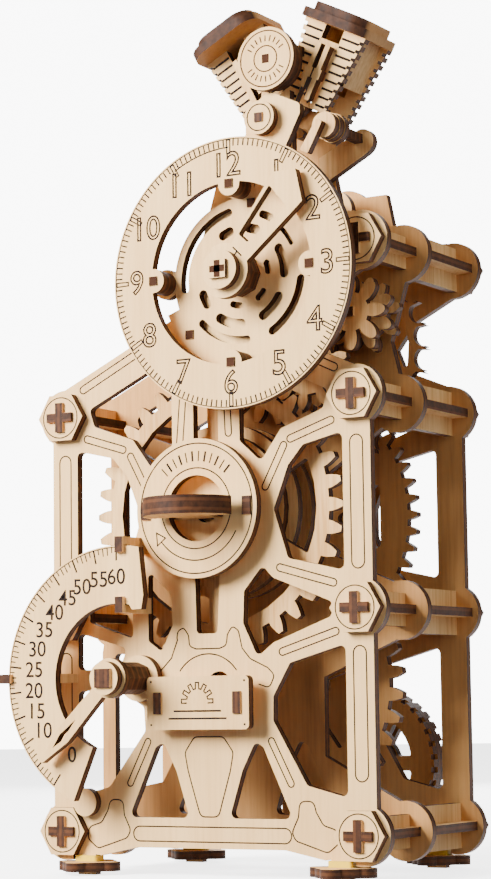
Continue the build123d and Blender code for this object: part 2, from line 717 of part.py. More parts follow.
with BuildPart() as dial_posts:
    with BuildSketch(facing_front(dial_y + ply)):
        with Locations(*tab_places):
            Circle(3.9)
        with Locations(*tab_places):
            Rectangle(peg + 2 * fit_gap, peg + 2 * fit_gap, mode=Mode.SUBTRACT)
    extrude(amount=-dial_stand)
    with BuildSketch(facing_front(dial_y - 0.4)):
        with Locations(*tab_places):
            Rectangle(peg, peg)
    extrude(amount=-(inner_plate_y + ply - dial_y + 0.4))
    with BuildSketch(facing_front(inner_plate_y - 0.4)):
        with Locations(*inner_pegs):
            Rectangle(peg, peg)
    extrude(amount=-(ply + 0.4))

# ---- minute scale and pointer ----
scale_zero = -144.0      # bearing of the scale's zero
unit_turn = 2.4          # degrees for each minute
pointer_bearing = -135.3
clip_x = scale_axis[0] + 1.8

with BuildPart() as minute_scale:
    with BuildSketch(facing_front(scale_y)):
        first, last = scale_zero - 12.5, 11.5
        turns = [first + (last - first) * k / 40 for k in range(41)]
        outer = [step_from(scale_axis, scale_r, turn) for turn in turns]
        inner = [step_from(scale_axis, scale_bore_r, turn) for turn in reversed(turns)]
        end_corners = [(10.4, 26.7), (9.5, 22.3), (6.0, 22.2)]
        Polygon(*outer, *[(scale_axis[0] + x, scale_axis[1] + z) for x, z in end_corners], *inner, align=None)
    extrude(amount=-ply)

with BuildPart() as scale_clips:
    hook_y = scale_y - hook_stand
    slot_front, slot_back = scale_y - fit_gap, scale_y + ply + fit_gap
    for edge, outward in ((scale_axis[1] + scale_r + 0.2, 1), (scale_axis[1] + scale_bore_r - 0.5, -1)):
        with BuildSketch(Plane.YZ.offset(clip_x - ply / 2)):
            Polygon(
                (front_y, edge + 2.6 * outward), (hook_y, edge + 2.6 * outward), (hook_y, edge - 2.6 * outward),
                (slot_front, edge - 2.6 * outward), (slot_front, edge), (slot_back, edge),
                (slot_back, edge - 2.6 * outward), (front_y, edge - 2.6 * outward), align=None
            )
        extrude(amount=ply)
    side_edge = scale_axis[0] - scale_r - 0.4
    with BuildSketch(Plane.XY.offset(scale_axis[1] - 1.0)):
        Polygon(
            (side_edge - 5, front_y), (side_edge - 5, hook_y), (side_edge + 2, hook_y), (side_edge + 2, slot_front),
            (side_edge, slot_front), (side_edge, slot_back), (side_edge + 12, slot_back), (-post_inner, slot_back),
            (-post_inner, front_y), align=None
        )
    extrude(amount=ply)

with BuildPart() as pointer_arbor:
    with BuildSketch(facing_front(pointer_y - ply - 1.0)):
        with Locations(scale_axis):
            Rectangle(arbor, arbor)
    extrude(amount=-(wheel_y - 0.5 - pointer_y + ply + 1.0))

with BuildPart() as minute_pointer:
    with BuildSketch(facing_front(pointer_y)):
        with Locations(scale_axis):
            Circle(6.5)
        across = pointer_bearing + 90
        sides = []
        for reach, half in ((4.0, 2.3), (26.0, 2.9), (pointer_reach, 0.4)):
            centre = step_from(scale_axis, reach, pointer_bearing)
            sides.append((step_from(centre, -half, across), step_from(centre, half, across)))
        Polygon(*[pair[0] for pair in sides], *[pair[1] for pair in reversed(sides)], align=None)
        leaf = [step_from(scale_axis, 18.5, pointer_bearing), step_from(scale_axis, 31.5, pointer_bearing)]
        widest = step_from(scale_axis, 26.5, pointer_bearing)
        Polygon(
            leaf[0], step_from(widest, -1.1, across), leaf[1], step_from(widest, 1.1, across), align=None,
            mode=Mode.SUBTRACT
        )
        square_bore(scale_axis, arbor)
    extrude(amount=-ply)

with BuildPart() as pointer_washers:
    with BuildSketch(facing_front(pointer_y - ply)):
        with Locations(scale_axis):
            Circle(5.4)
        square_bore(scale_axis, arbor)
    extrude(amount=-ply)
    with BuildSketch(facing_front(pointer_y + ply)):
        with Locations(scale_axis):
            RegularPolygon(5.3, 8)
        square_bore(scale_axis, arbor)
    extrude(amount=-(front_y - ply - pointer_y - ply - 0.3))
    with BuildSketch(facing_front(front_y - ply - 0.3)):
        with Locations(scale_axis):
            Circle(7.6)
        square_bore(scale_axis, arbor)
    extrude(amount=-ply)

with BuildPart() as pointer_lever:
    with BuildSketch(facing_front(front_y + ply + 0.3)):
        with Locations(scale_axis):
            Circle(8.0)
        tip = step_from(scale_axis, 17.0, pointer_bearing + 180)
        with Locations(tip):
            Circle(3.5)
        side = pointer_bearing + 90
        Polygon(
            step_from(scale_axis, 3.5, side), step_from(tip, 3.5, side), step_from(tip, -3.5, side),
            step_from(scale_axis, -3.5, side), align=None
        )
        square_bore(scale_axis, arbor)
    extrude(amount=-ply)

# ---- name plate ----
name_centre = (0.0, 42.0)
name_tenons = [(name_centre[0] + side * 15.0, name_centre[1]) for side in (-1, 1)]

with BuildPart() as name_plate:
    with BuildSketch(facing_front(name_y)):
        with Locations(name_centre):
            RectangleRounded(name_width, name_height, 1.6)
        with Locations(*name_tenons):
            Rectangle(ply + 2 * fit_gap, 7 + 2 * fit_gap, mode=Mode.SUBTRACT)
    extrude(amount=-ply)

with BuildPart() as name_plate_brackets:
    for x, z in name_tenons:
        with BuildSketch(Plane.YZ.offset(x - ply / 2)):
            with Locations(((name_y + ply + front_y) / 2, z)):
                Rectangle(front_y - name_y - ply, 12.0)
            with Locations((name_y + ply / 2 - 0.3, z)):
                Rectangle(ply + 0.6, 7.0)
        extrude(amount=ply)

# ---- pendulum ----
bob_centre = (pendulum_axis[0], pendulum_axis[1] - pendulum_length)

with BuildPart() as pendulum_rod:
    with BuildSketch(facing_front(pendulum_y + ply)):
        with Locations(pendulum_axis):
            Circle(7.5)
        with Locations(bob_centre):
            Circle(9.0)
        with Locations((pendulum_axis[0], (pendulum_axis[1] + bob_centre[1]) / 2)):
            Rectangle(7.0, pendulum_length)
        square_bore(pendulum_axis, arbor)
    extrude(amount=-ply)


def bob_side():
    with Locations(bob_centre):
        Circle(bob_r - 1.0)
        with PolarLocations(bob_r - 1.6, 36):
            Rectangle(3.2, 2.6)
    spoke_windows(bob_centre, 9.5, 17.5, 6, 5.0, 0)


with BuildPart() as bob_sides:
    for y in (pendulum_y, pendulum_y + 2 * ply + 0.04):
        with BuildSketch(facing_front(y)):
            bob_side()
        extrude(amount=-(ply - 0.04))

with BuildPart() as bob_tread:
    with BuildSketch(facing_front(pendulum_y + ply + 0.02)):
        with Locations(bob_centre):
            Circle(bob_r)
            Circle(19.0, mode=Mode.SUBTRACT)
        with Locations((bob_centre[0], bob_centre[1] + 22)):
            Rectangle(7.2, 12.0, mode=Mode.SUBTRACT)
    extrude(amount=-(ply - 0.04))

with BuildPart() as anchor_arbor:
    with BuildSketch(facing_front(middle_y - 0.5)):
        with Locations(pendulum_axis):
            Rectangle(arbor, arbor)
    extrude(amount=-(pendulum_y + 2 * ply + 0.5 - middle_y + 0.5))

with BuildPart() as anchor:
    with BuildSketch(facing_front(escape_y)):
        with Locations(pendulum_axis):
            Circle(8.0)
        reach = escape_r + 3.0
        for side in (-1, 1):
            arm = [step_from(escape_axis, reach, side * turn + 4) for turn in (30, 22, 12)]
            arm += [step_from(escape_axis, reach + 5, side * turn + 4) for turn in (0, 14, 24)]
            Polygon(*arm, align=None)
        square_bore(pendulum_axis, arbor)
    extrude(amount=-ply)

# ---- engine ----
engine_y = front_y
heads_y = front_y + 10.3
cylinder_depth = middle_y - heads_y
head_front = {-1: front_y + 1.0, 1: front_y + 5.0}
top_half_width, foot_half_width = 12.4, 8.6
fin_pitch = 2.9
cylinder_start = 15.0


def cylinder_plane(side, reach, y):
    """A plane across one cylinder: its normal runs up the cylinder, its x along the clock's x."""
    lean = radians(cylinder_lean) * side
    centre = step_from(cylinder_foot, reach, side * cylinder_lean)
    return Plane(origin=(centre[0], y, centre[1]), x_dir=(cos(lean), 0, -sin(lean)), z_dir=(sin(lean), 0, cos(lean)))


def cylinder_side_plane(side, y):
    """A plane facing the front, at depth y, whose second axis runs up one cylinder."""
    lean = radians(cylinder_lean) * side
    return Plane(
        origin=(cylinder_foot[0], y, cylinder_foot[1]), x_dir=(cos(lean), 0, -sin(lean)), z_dir=(0, -1, 0)
    )


def half_width(height):
    """Half the width of a cylinder's face, which narrows towards the crank."""
    share = (height - cylinder_start) / (head_reach - cylinder_start)
    return foot_half_width + (top_half_width - foot_half_width) * share


def finned_outline(low, high):
    """Outline of a face with small fins down both edges, about the cylinder's axis."""
    right = []
    height = low
    while height + fin_pitch <= high:
        right += [(half_width(height), height), (half_width(height + 1.7), height + 1.7)]
        right += [(half_width(height) - 1.0, height + 1.8), (half_width(height) - 0.9, height + fin_pitch - 0.1)]
        height += fin_pitch
    right += [(half_width(height), height), (half_width(high), high)]
    return right + [(-x, z) for x, z in reversed(right)]


def far_half(side):
    """The half of one cylinder's face that lies past the line between the two cylinders."""
    lean = radians(cylinder_lean) * side
    low, high = (0.15 * side, 0), (0.15 * side - 80 * sin(lean), 80 * cos(lean))
    return [low, high, (high[0] - 80 * side, high[1]), (low[0] - 80 * side, low[1])]


with BuildPart() as engine_front_plates:
    with BuildSketch(facing_front(engine_y)):
        cover = [(-7, -12), (-6.9, 3), (1.0, 8.6), (4.0, 8.2), (13.6, 3.6), (13.6, 0.4), (7, -12)]
        rounded([(crank_axis[0] + x, crank_axis[1] + z) for x, z in cover], 1.6)
        round_holes([crank_axis], peg_hole_r)
    extrude(amount=-ply)
    with BuildSketch(facing_front(engine_y + ply)):
        with Locations((crank_axis[0] + 1.5, crank_axis[1] - 12)):
            RectangleRounded(15, 36, 3)
        round_holes([crank_axis, upper_idler_axis], peg_hole_r)
    extrude(amount=-ply)

with BuildPart() as crank_pinion:
    with BuildSketch(facing_front(wheel_y)):
        gear_face(crank_axis, crank_teeth, big_module, crank_bearing)
        square_bore(crank_axis, peg)
    extrude(amount=-ply)

with BuildPart() as crank_arbor:
    with BuildSketch(facing_front(engine_y - ply - 0.8)):
        with Locations(crank_axis):
            Rectangle(peg, peg)
    extrude(amount=-(middle_y + ply + 0.5 - engine_y + ply + 0.8))

with BuildPart() as crank_disc:
    with BuildSketch(facing_front(engine_y - ply - 0.3)):
        with Locations(crank_axis):
            Circle(5.6)
        square_bore(crank_axis, peg)
    extrude(amount=-ply)

with BuildPart() as cylinder_faces:
    for side in (-1, 1):
        with BuildSketch(cylinder_side_plane(side, heads_y + ply)):
            Polygon(*finned_outline(cylinder_start, head_reach), align=None)
            with Locations((0, (cylinder_start + head_reach) / 2 + 3)):
                Rectangle(column_gap, head_reach - cylinder_start + 6, mode=Mode.SUBTRACT)
            Polygon(*far_half(side), align=None, mode=Mode.SUBTRACT)
        extrude(amount=ply)
        with BuildSketch(cylinder_side_plane(side, middle_y)):
            Polygon(*finned_outline(cylinder_start, head_reach), align=None)
            with Locations((0, head_reach - 14)):
                Rectangle(column_gap, 12, mode=Mode.SUBTRACT)
            Polygon(*far_half(side), align=None, mode=Mode.SUBTRACT)
        extrude(amount=ply)

with BuildPart() as cylinder_sides:
    for side in (-1, 1):
        lean = radians(cylinder_lean) * side
        middle = step_from(cylinder_foot, head_reach - 8.5, side * cylinder_lean)
        for offset in (-8.0, 8.0):
            with BuildSketch(
                Plane(
                    origin=(middle[0] + offset * cos(lean), heads_y + cylinder_depth / 2, middle[1] - offset * sin(lean)),
                    x_dir=(0, 1, 0), z_dir=(cos(lean), 0, -sin(lean)),
                )
            ):
                Rectangle(cylinder_depth - 2 * ply, 17.0)
            extrude(amount=ply / 2, both=True)

with BuildPart() as cylinder_heads:
    for side in (-1, 1):
        for layer, trim in ((0, 0), (1, 4.5)):
            plane = cylinder_plane(side, head_reach + layer * ply, head_front[side] + head_depth / 2)
            with BuildSketch(plane):
                RectangleRounded(head_width - trim, head_depth - trim, 6.0)
            extrude(amount=ply)

piston_r, piston_height, piston_stroke = 4.4, 9.0, 4.0
with BuildPart() as piston_left:
    with BuildSketch(cylinder_plane(-1, head_reach - 15.0, heads_y + cylinder_depth / 2)):
        Circle(piston_r)
    extrude(amount=piston_height)
with BuildPart() as piston_right:
    with BuildSketch(cylinder_plane(1, head_reach - 15.0, heads_y + cylinder_depth / 2)):
        Circle(piston_r)
    extrude(amount=piston_height)

# push rods with their collars, the carburettor disc, its lever and the arm behind it
rod_y = heads_y - ply
disc_axis = (45.1, 228.7)
with BuildPart() as valve_gear:
    for side in (-1, 1):
        for across, low in ((-1.8 * side, 20.5), (1.8 * side, 17.0)):
            with BuildSketch(cylinder_side_plane(side, rod_y + ply)):
                with Locations((across, (low + 36) / 2)):
                    Rectangle(1.8, 36 - low)
                with Locations((across, 26)):
                    Rectangle(3.0, 3.4)
            extrude(amount=ply)
        with BuildSketch(cylinder_side_plane(side, heads_y + ply)):
            with Locations((0, 36.5)):
                Rectangle(column_gap - 0.2, 2.5)
        extrude(amount=ply)
    for layer in range(3):
        with BuildSketch(facing_front(engine_y + 2 + layer * ply)):
            with Locations(disc_axis):
                Circle(4.3 + 0.3 * layer)
        extrude(amount=-ply)
    with BuildSketch(facing_front(engine_y - 1)):
        rounded([
            (disc_axis[0] - 1.0, disc_axis[1] + 1.6), (disc_axis[0] + 1.0, disc_axis[1] + 0.4), (40.6, 219.2), (37.6, 220.6)
        ], 0.6)
    extrude(amount=-ply)
    with BuildSketch(facing_front(middle_y - ply)):
        with Locations((46.2, 227.6)):
            Circle(4.4)
        Polygon((46.2, 232.0), (30.0, 224.0), (30.0, 214.0), (48.6, 223.8), align=None)
    extrude(amount=-ply)
    with BuildSketch(facing_front(engine_y + 2 + 3 * ply)):
        with Locations(disc_axis):
            Rectangle(peg, peg)
    extrude(amount=-(middle_y - ply - engine_y - 2 - 3 * ply))

air_centre = (crank_axis[0] + 2.3, crank_axis[1] + 19.6)
with BuildPart() as air_cleaner:
    with BuildSketch(facing_front(engine_y - 2.4)):
        with Locations(air_centre):
            Circle(10.6)
    extrude(amount=-ply)
    with BuildSketch(facing_front(engine_y - 2.4 + ply)):
        with Locations(air_centre):
            Circle(9.0)
    extrude(amount=-2 * ply)
    with BuildSketch(facing_front(engine_y - 2.4 + 3 * ply)):
        with Locations((air_centre[0] - 6.2, air_centre[1] + 4), (air_centre[0] + 6.2, air_centre[1] + 4)):
            Rectangle(peg, peg)
    extrude(amount=-(heads_y - engine_y + 2.4 - 3 * ply))

pieces = {
    "front_plate": front_plate, "middle_plate": middle_plate, "back_plate": back_plate,
    "rod_flat_strips": rod_flat_strips, "rod_upright_strips": rod_upright_strips, "nuts": nuts,
    "feet": feet, "foot_bands": foot_bands, "main_wheel": main_wheel, "winding_drum": winding_drum,
    "knob_ring": knob_ring, "winding_key": winding_key, "winding_arbor": winding_arbor,
    "ratchet_wheel": ratchet_wheel, "second_pinion": second_pinion, "second_wheel": second_wheel,
    "second_arbor": second_arbor, "third_pinion": third_pinion, "third_wheel": third_wheel,
    "third_arbor": third_arbor, "escape_wheel": escape_wheel, "escape_pinion": escape_pinion,
    "drive_gear": drive_gear, "escape_arbor": escape_arbor, "petal_pinion": petal_pinion,
    "petal_discs": petal_discs, "petal_arbor": petal_arbor, "lower_idler": lower_idler,
    "upper_idler": upper_idler, "hour_wheel": hour_wheel, "hour_arbor": hour_arbor,
    "hour_collars": hour_collars, "hour_hand": hour_hand, "dial_ring": dial_ring,
    "dial_inner_plate": dial_inner_plate, "dial_posts": dial_posts, "minute_scale": minute_scale,
    "scale_clips": scale_clips, "pointer_arbor": pointer_arbor, "minute_pointer": minute_pointer,
    "pointer_washers": pointer_washers, "pointer_lever": pointer_lever, "name_plate": name_plate,
    "name_plate_brackets": name_plate_brackets, "pendulum_rod": pendulum_rod, "bob_sides": bob_sides,
    "bob_tread": bob_tread, "anchor_arbor": anchor_arbor, "anchor": anchor,
    "engine_front_plates": engine_front_plates, "crank_pinion": crank_pinion, "crank_arbor": crank_arbor,
    "crank_disc": crank_disc, "cylinder_faces": cylinder_faces, "cylinder_sides": cylinder_sides,
    "cylinder_heads": cylinder_heads, "piston_left": piston_left, "piston_right": piston_right,
    "valve_gear": valve_gear, "air_cleaner": air_cleaner,
}

boxes = [piece.part.bounding_box() for piece in pieces.values()]
centre_x = (min(box.min.X for box in boxes) + max(box.max.X for box in boxes)) / 2
centre_y = (min(box.min.Y for box in boxes) + max(box.max.Y for box in boxes)) / 2
base_z = min(box.min.Z for box in boxes)
to_origin = Location((-centre_x, -centre_y, -base_z))

os.makedirs("parts", exist_ok=True)
for name, piece in pieces.items():
    piece.part.move(to_origin)
    piece.part.label = name
    export_step(piece.part, f"parts/{name}.step")
print("origin moved by", -centre_x, -centre_y, -base_z, "pieces", len(pieces))
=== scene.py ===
"""Looks of a wooden mechanical clock kit: birch plywood, scorched cut edges and engraving."""

import json
import math

import bmesh
import bpy
from bpy.props import FloatProperty, FloatVectorProperty, PointerProperty
from mathutils import Matrix, Vector


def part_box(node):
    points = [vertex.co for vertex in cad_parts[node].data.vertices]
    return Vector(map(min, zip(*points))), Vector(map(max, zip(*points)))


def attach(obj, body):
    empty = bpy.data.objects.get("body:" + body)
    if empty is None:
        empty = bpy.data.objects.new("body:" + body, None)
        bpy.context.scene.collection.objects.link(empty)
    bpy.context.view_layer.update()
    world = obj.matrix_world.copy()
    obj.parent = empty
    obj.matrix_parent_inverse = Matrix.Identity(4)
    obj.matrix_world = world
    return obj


bl_info = {
    "name": "Plywood clock finish",
    "version": (1, 0, 0),
    "blender": (4, 5, 0),
    "location": "3D View > Sidebar > Clock",
    "description": "Gives the plywood clock its wood, scorched edges, engraving, floor and light",
    "category": "Object",
}

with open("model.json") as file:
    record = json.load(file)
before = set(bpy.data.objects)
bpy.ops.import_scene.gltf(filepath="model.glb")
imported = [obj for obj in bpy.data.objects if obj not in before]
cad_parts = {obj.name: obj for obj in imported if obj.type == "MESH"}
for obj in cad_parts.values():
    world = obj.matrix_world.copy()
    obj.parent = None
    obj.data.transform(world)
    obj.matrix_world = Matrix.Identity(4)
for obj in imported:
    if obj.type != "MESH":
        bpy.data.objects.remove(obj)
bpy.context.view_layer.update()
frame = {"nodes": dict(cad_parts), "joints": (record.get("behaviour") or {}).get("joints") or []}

MM = 0.001
PLY = 3.0 * MM
FRAME_BODY = "clock_frame"
joint_at = {joint["name"]: Vector(joint["pos_m"]) for joint in frame["joints"] if "pos_m" in joint}

# Key places of the clock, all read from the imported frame.
CENTRE_X = joint_at["main_wheel_turn"].x
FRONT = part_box("front_plate")[0].y
NUT_R = 9.0 * MM
ROD_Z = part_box("nuts")[0].z + NUT_R * math.sin(math.radians(60))

# Sizes that the engraving shares with the sheets it lies on, in millimetres and degrees.
RODS = [(side * 56.0, z) for side in (-1, 1) for z in (0.0, 71.3, 139.2)] + [(58.5, 188.8)]
NUT_CIRCLE_R = 6.9
DIAL_PEG_REACH = 29.4
INNER_PEGS = ((27.0, 229), (24.2, 9))    # reach and bearing from the middle of the dial
PEG_END = 2.9
PEG_STANDS_OUT = 0.4
CYLINDER_LEAN = 27.0
CYLINDER_FOOT = (2.6, -7.8)              # where the two cylinders meet, from the crank
FIRST_FIN, FIN_PITCH, FIN_COUNT = 16.7, 2.9, 9
SCALE_ZERO, DEGREES_A_MINUTE = -144.0, 2.4
MARKS_ON_DIAL = 144


def spot(x, y, z):
    """A point in millimetres from the lowest rods' height, the frame's centre line and the front plate."""
    return Vector((CENTRE_X + x * MM, FRONT + y * MM, ROD_Z + z * MM))


# ---------------------------------------------------------------- settings
class WoodSettings(bpy.types.PropertyGroup):
    """Colours and scale of the plywood."""

    pale: FloatVectorProperty(
        name="Pale birch", description="Colour of the lightest face veneer",
        subtype="COLOR", size=4, min=0, max=1, default=(0.86, 0.54, 0.225, 1))
    warm: FloatVectorProperty(
        name="Warm birch", description="Colour of the darker bands in the veneer",
        subtype="COLOR", size=4, min=0, max=1, default=(0.58, 0.295, 0.095, 1))
    # Painted shade: a darker copy of the birch for the sheets inside the frame, standing in for the shade
    # there; the wood itself is the same birch throughout.
    deep: FloatVectorProperty(
        name="Deep birch", description="Colour of the smoke-darkened inner sheets",
        subtype="COLOR", size=4, min=0, max=1, default=(0.40, 0.185, 0.058, 1))
    scorch: FloatVectorProperty(
        name="Scorched edge", description="Colour of the laser-cut edges",
        subtype="COLOR", size=4, min=0, max=1, default=(0.018, 0.006, 0.002, 1))
    scorch_light: FloatVectorProperty(
        name="Light glue layer", description="Colour of the paler layers in the cut edges",
        subtype="COLOR", size=4, min=0, max=1, default=(0.095, 0.032, 0.010, 1))
    engraving: FloatVectorProperty(
        name="Engraved line", description="Colour of the burnt engraving",
        subtype="COLOR", size=4, min=0, max=1, default=(0.010, 0.004, 0.002, 1))
    grain_pitch: FloatProperty(
        name="Grain pitch", description="Spacing of the fine grain",
        default=0.0011, min=0.0002, unit="LENGTH", subtype="DISTANCE")


class EngravingSettings(bpy.types.PropertyGroup):
    """Sizes of the engraved lines and numbers."""

    line: FloatProperty(
        name="Line width", description="Width of an engraved line",
        default=0.42 * MM, min=0.05 * MM, unit="LENGTH", subtype="DISTANCE")
    proud: FloatProperty(
        name="Line height", description="How far the line stands clear of the face",
        default=0.05 * MM, min=0.01 * MM, unit="LENGTH", subtype="DISTANCE")
    dial_number: FloatProperty(
        name="Dial numbers", description="Height of the numbers on the dial",
        default=8.4 * MM, min=1 * MM, unit="LENGTH", subtype="DISTANCE")
    scale_number: FloatProperty(
        name="Scale numbers", description="Height of the numbers on the minute scale",
        default=5.2 * MM, min=1 * MM, unit="LENGTH", subtype="DISTANCE")


class StageSettings(bpy.types.PropertyGroup):
    """Camera, floor and lights."""

    floor: FloatProperty(
        name="Floor glow", description="Brightness that the white floor adds to the light on it",
        default=3.4, min=0)
    light: FloatProperty(
        name="Light strength", description="Power of the main soft light in watts",
        default=44.0, min=0)
    sky: FloatProperty(
        name="Surrounding light", description="Strength of the white surroundings",
        default=0.12, min=0)
    backdrop: FloatProperty(
        name="Backdrop glow", description="Brightness of the white backdrop behind the clock",
        default=9.0, min=0)


# ---------------------------------------------------------------- shader groups
def new_group(name, inputs, outputs):
    """An empty shader group with typed sockets; gives its input and output nodes."""
    group = bpy.data.node_groups.new(name, "ShaderNodeTree")
    for label, kind, default in inputs:
        socket = group.interface.new_socket(name=label, in_out="INPUT", socket_type=kind)
        if default is not None:
            socket.default_value = default
    for label, kind in outputs:
        group.interface.new_socket(name=label, in_out="OUTPUT", socket_type=kind)
    return group, group.nodes.new("NodeGroupInput"), group.nodes.new("NodeGroupOutput")


def math_node(nodes, links, operation, first, second=None):
    node = nodes.new("ShaderNodeMath")
    node.operation = operation
    for socket, value in zip(node.inputs, (first, second)):
        if value is None:
            continue
        if isinstance(value, (int, float)):
            socket.default_value = value
        else:
            links.new(value, socket)
    return node.outputs[0]


def mix_colour(nodes, links, factor, first, second):
    node = nodes.new("ShaderNodeMix")
    node.data_type = "RGBA"
    for socket, value in ((node.inputs[0], factor), (node.inputs[6], first), (node.inputs[7], second)):
        if isinstance(value, bpy.types.NodeSocket):
            links.new(value, socket)
        else:
            socket.default_value = value
    return node.outputs[2]


def ramp(nodes, links, value, low, high):
    node = nodes.new("ShaderNodeMapRange")
    node.inputs["From Min"].default_value = low
    node.inputs["From Max"].default_value = high
    links.new(value, node.inputs["Value"])
    return node.outputs[0]


def stretched_noise(nodes, links, vector, scale, detail, roughness=0.5):
    mapping = nodes.new("ShaderNodeMapping")
    mapping.inputs["Scale"].default_value = scale
    links.new(vector, mapping.inputs["Vector"])
    noise = nodes.new("ShaderNodeTexNoise")
    noise.inputs["Scale"].default_value = 1.0
    noise.inputs["Detail"].default_value = detail
    noise.inputs["Roughness"].default_value = roughness
    links.new(mapping.outputs[0], noise.inputs["Vector"])
    return noise.outputs["Fac"]


def birch_grain_group(wood):
    """Veneer colour and relief: broad bands, fine upright grain and a few darker flecks."""
    group, source, sink = new_group(
        "birch_grain",
        [("Vector", "NodeSocketVector", None), ("Pale", "NodeSocketColor", wood.pale),
         ("Warm", "NodeSocketColor", wood.warm), ("Depth of tone", "NodeSocketFloat", 0.35)],
        [("Color", "NodeSocketColor"), ("Height", "NodeSocketFloat"), ("Roughness", "NodeSocketFloat")])
    nodes, links = group.nodes, group.links
    vector = source.outputs["Vector"]
    fine = 1 / wood.grain_pitch
    bands = stretched_noise(nodes, links, vector, (70, 70, 9), 3.0)
    grain = stretched_noise(nodes, links, vector, (fine, fine, fine / 22), 4.0, 0.62)
    pores = stretched_noise(nodes, links, vector, (fine * 2.1, fine * 2.1, fine / 7), 2.0)
    flecks = ramp(nodes, links, stretched_noise(nodes, links, vector, (330, 330, 60), 2.0), 0.70, 0.80)
    tone = math_node(
        nodes, links, "ADD", ramp(nodes, links, bands, 0.36, 0.70), ramp(nodes, links, grain, 0.42, 0.78))
    tone = math_node(nodes, links, "MULTIPLY", tone, source.outputs["Depth of tone"])
    tone = math_node(nodes, links, "ADD", tone, math_node(nodes, links, "MULTIPLY", flecks, 0.25))
    colour = mix_colour(nodes, links, tone, source.outputs["Pale"], source.outputs["Warm"])
    links.new(colour, sink.inputs["Color"])
    height = math_node(nodes, links, "ADD", grain, math_node(nodes, links, "MULTIPLY", pores, 0.6))
    links.new(height, sink.inputs["Height"])
    rough = nodes.new("ShaderNodeMapRange")
    rough.inputs["To Min"].default_value = 0.52
    rough.inputs["To Max"].default_value = 0.70
    links.new(grain, rough.inputs["Value"])
    links.new(rough.outputs[0], sink.inputs["Roughness"])
    return group


def cut_edge_group(wood):
    """Mask of the laser-cut edges and their scorched, layered colour."""
    group, source, sink = new_group(
        "cut_edge",
        [("Vector", "NodeSocketVector", None), ("Normal", "NodeSocketVector", None),
         ("Sheet normal A", "NodeSocketVector", (0, 1, 0)), ("Sheet normal B", "NodeSocketVector", (0, 1, 0)),
         ("Sheet start", "NodeSocketFloat", 0.0), ("Glue lines", "NodeSocketFloat", 0.55),
         ("Dark", "NodeSocketColor", wood.scorch),
         ("Light", "NodeSocketColor", wood.scorch_light)],
        [("Mask", "NodeSocketFloat"), ("Color", "NodeSocketColor")])
    nodes, links = group.nodes, group.links

    def along(first, second):
        node = nodes.new("ShaderNodeVectorMath")
        node.operation = "DOT_PRODUCT"
        links.new(first, node.inputs[0])
        links.new(second, node.inputs[1])
        return node.outputs["Value"]

    normal, sheet_a = source.outputs["Normal"], source.outputs["Sheet normal A"]
    facing_a = math_node(nodes, links, "ABSOLUTE", along(normal, sheet_a))
    facing_b = math_node(nodes, links, "ABSOLUTE", along(normal, source.outputs["Sheet normal B"]))
    facing = math_node(nodes, links, "MAXIMUM", facing_a, facing_b)
    mask = nodes.new("ShaderNodeMapRange")
    mask.inputs["From Min"].default_value = 0.80
    mask.inputs["From Max"].default_value = 0.70
    links.new(facing, mask.inputs["Value"])
    links.new(mask.outputs[0], sink.inputs["Mask"])
    vector = source.outputs["Vector"]
    depth = math_node(nodes, links, "SUBTRACT", along(vector, sheet_a), source.outputs["Sheet start"])
    layer = math_node(nodes, links, "DIVIDE", depth, PLY)
    wobble = stretched_noise(nodes, links, vector, (260, 260, 260), 2.0)
    layer = math_node(nodes, links, "ADD", layer, math_node(nodes, links, "MULTIPLY", wobble, 0.10))
    from_middle = math_node(nodes, links, "SUBTRACT", math_node(nodes, links, "FRACT", layer), 0.55)
    middle = math_node(nodes, links, "ABSOLUTE", from_middle)
    glue = ramp(nodes, links, middle, 0.20, 0.13)
    patches = ramp(nodes, links, stretched_noise(nodes, links, vector, (420, 420, 420), 3.0), 0.35, 0.7)
    light = math_node(nodes, links, "MULTIPLY", glue, source.outputs["Glue lines"])
    light = math_node(nodes, links, "ADD", light, math_node(nodes, links, "MULTIPLY", patches, 0.45))
    scorched = mix_colour(nodes, links, light, source.outputs["Dark"], source.outputs["Light"])
    links.new(scorched, sink.inputs["Color"])
    return group


def group_node(nodes, group, **values):
    node = nodes.new("ShaderNodeGroup")
    node.node_tree = group
    for label, value in values.items():
        node.inputs[label.replace("_", " ")].default_value = value
    return node


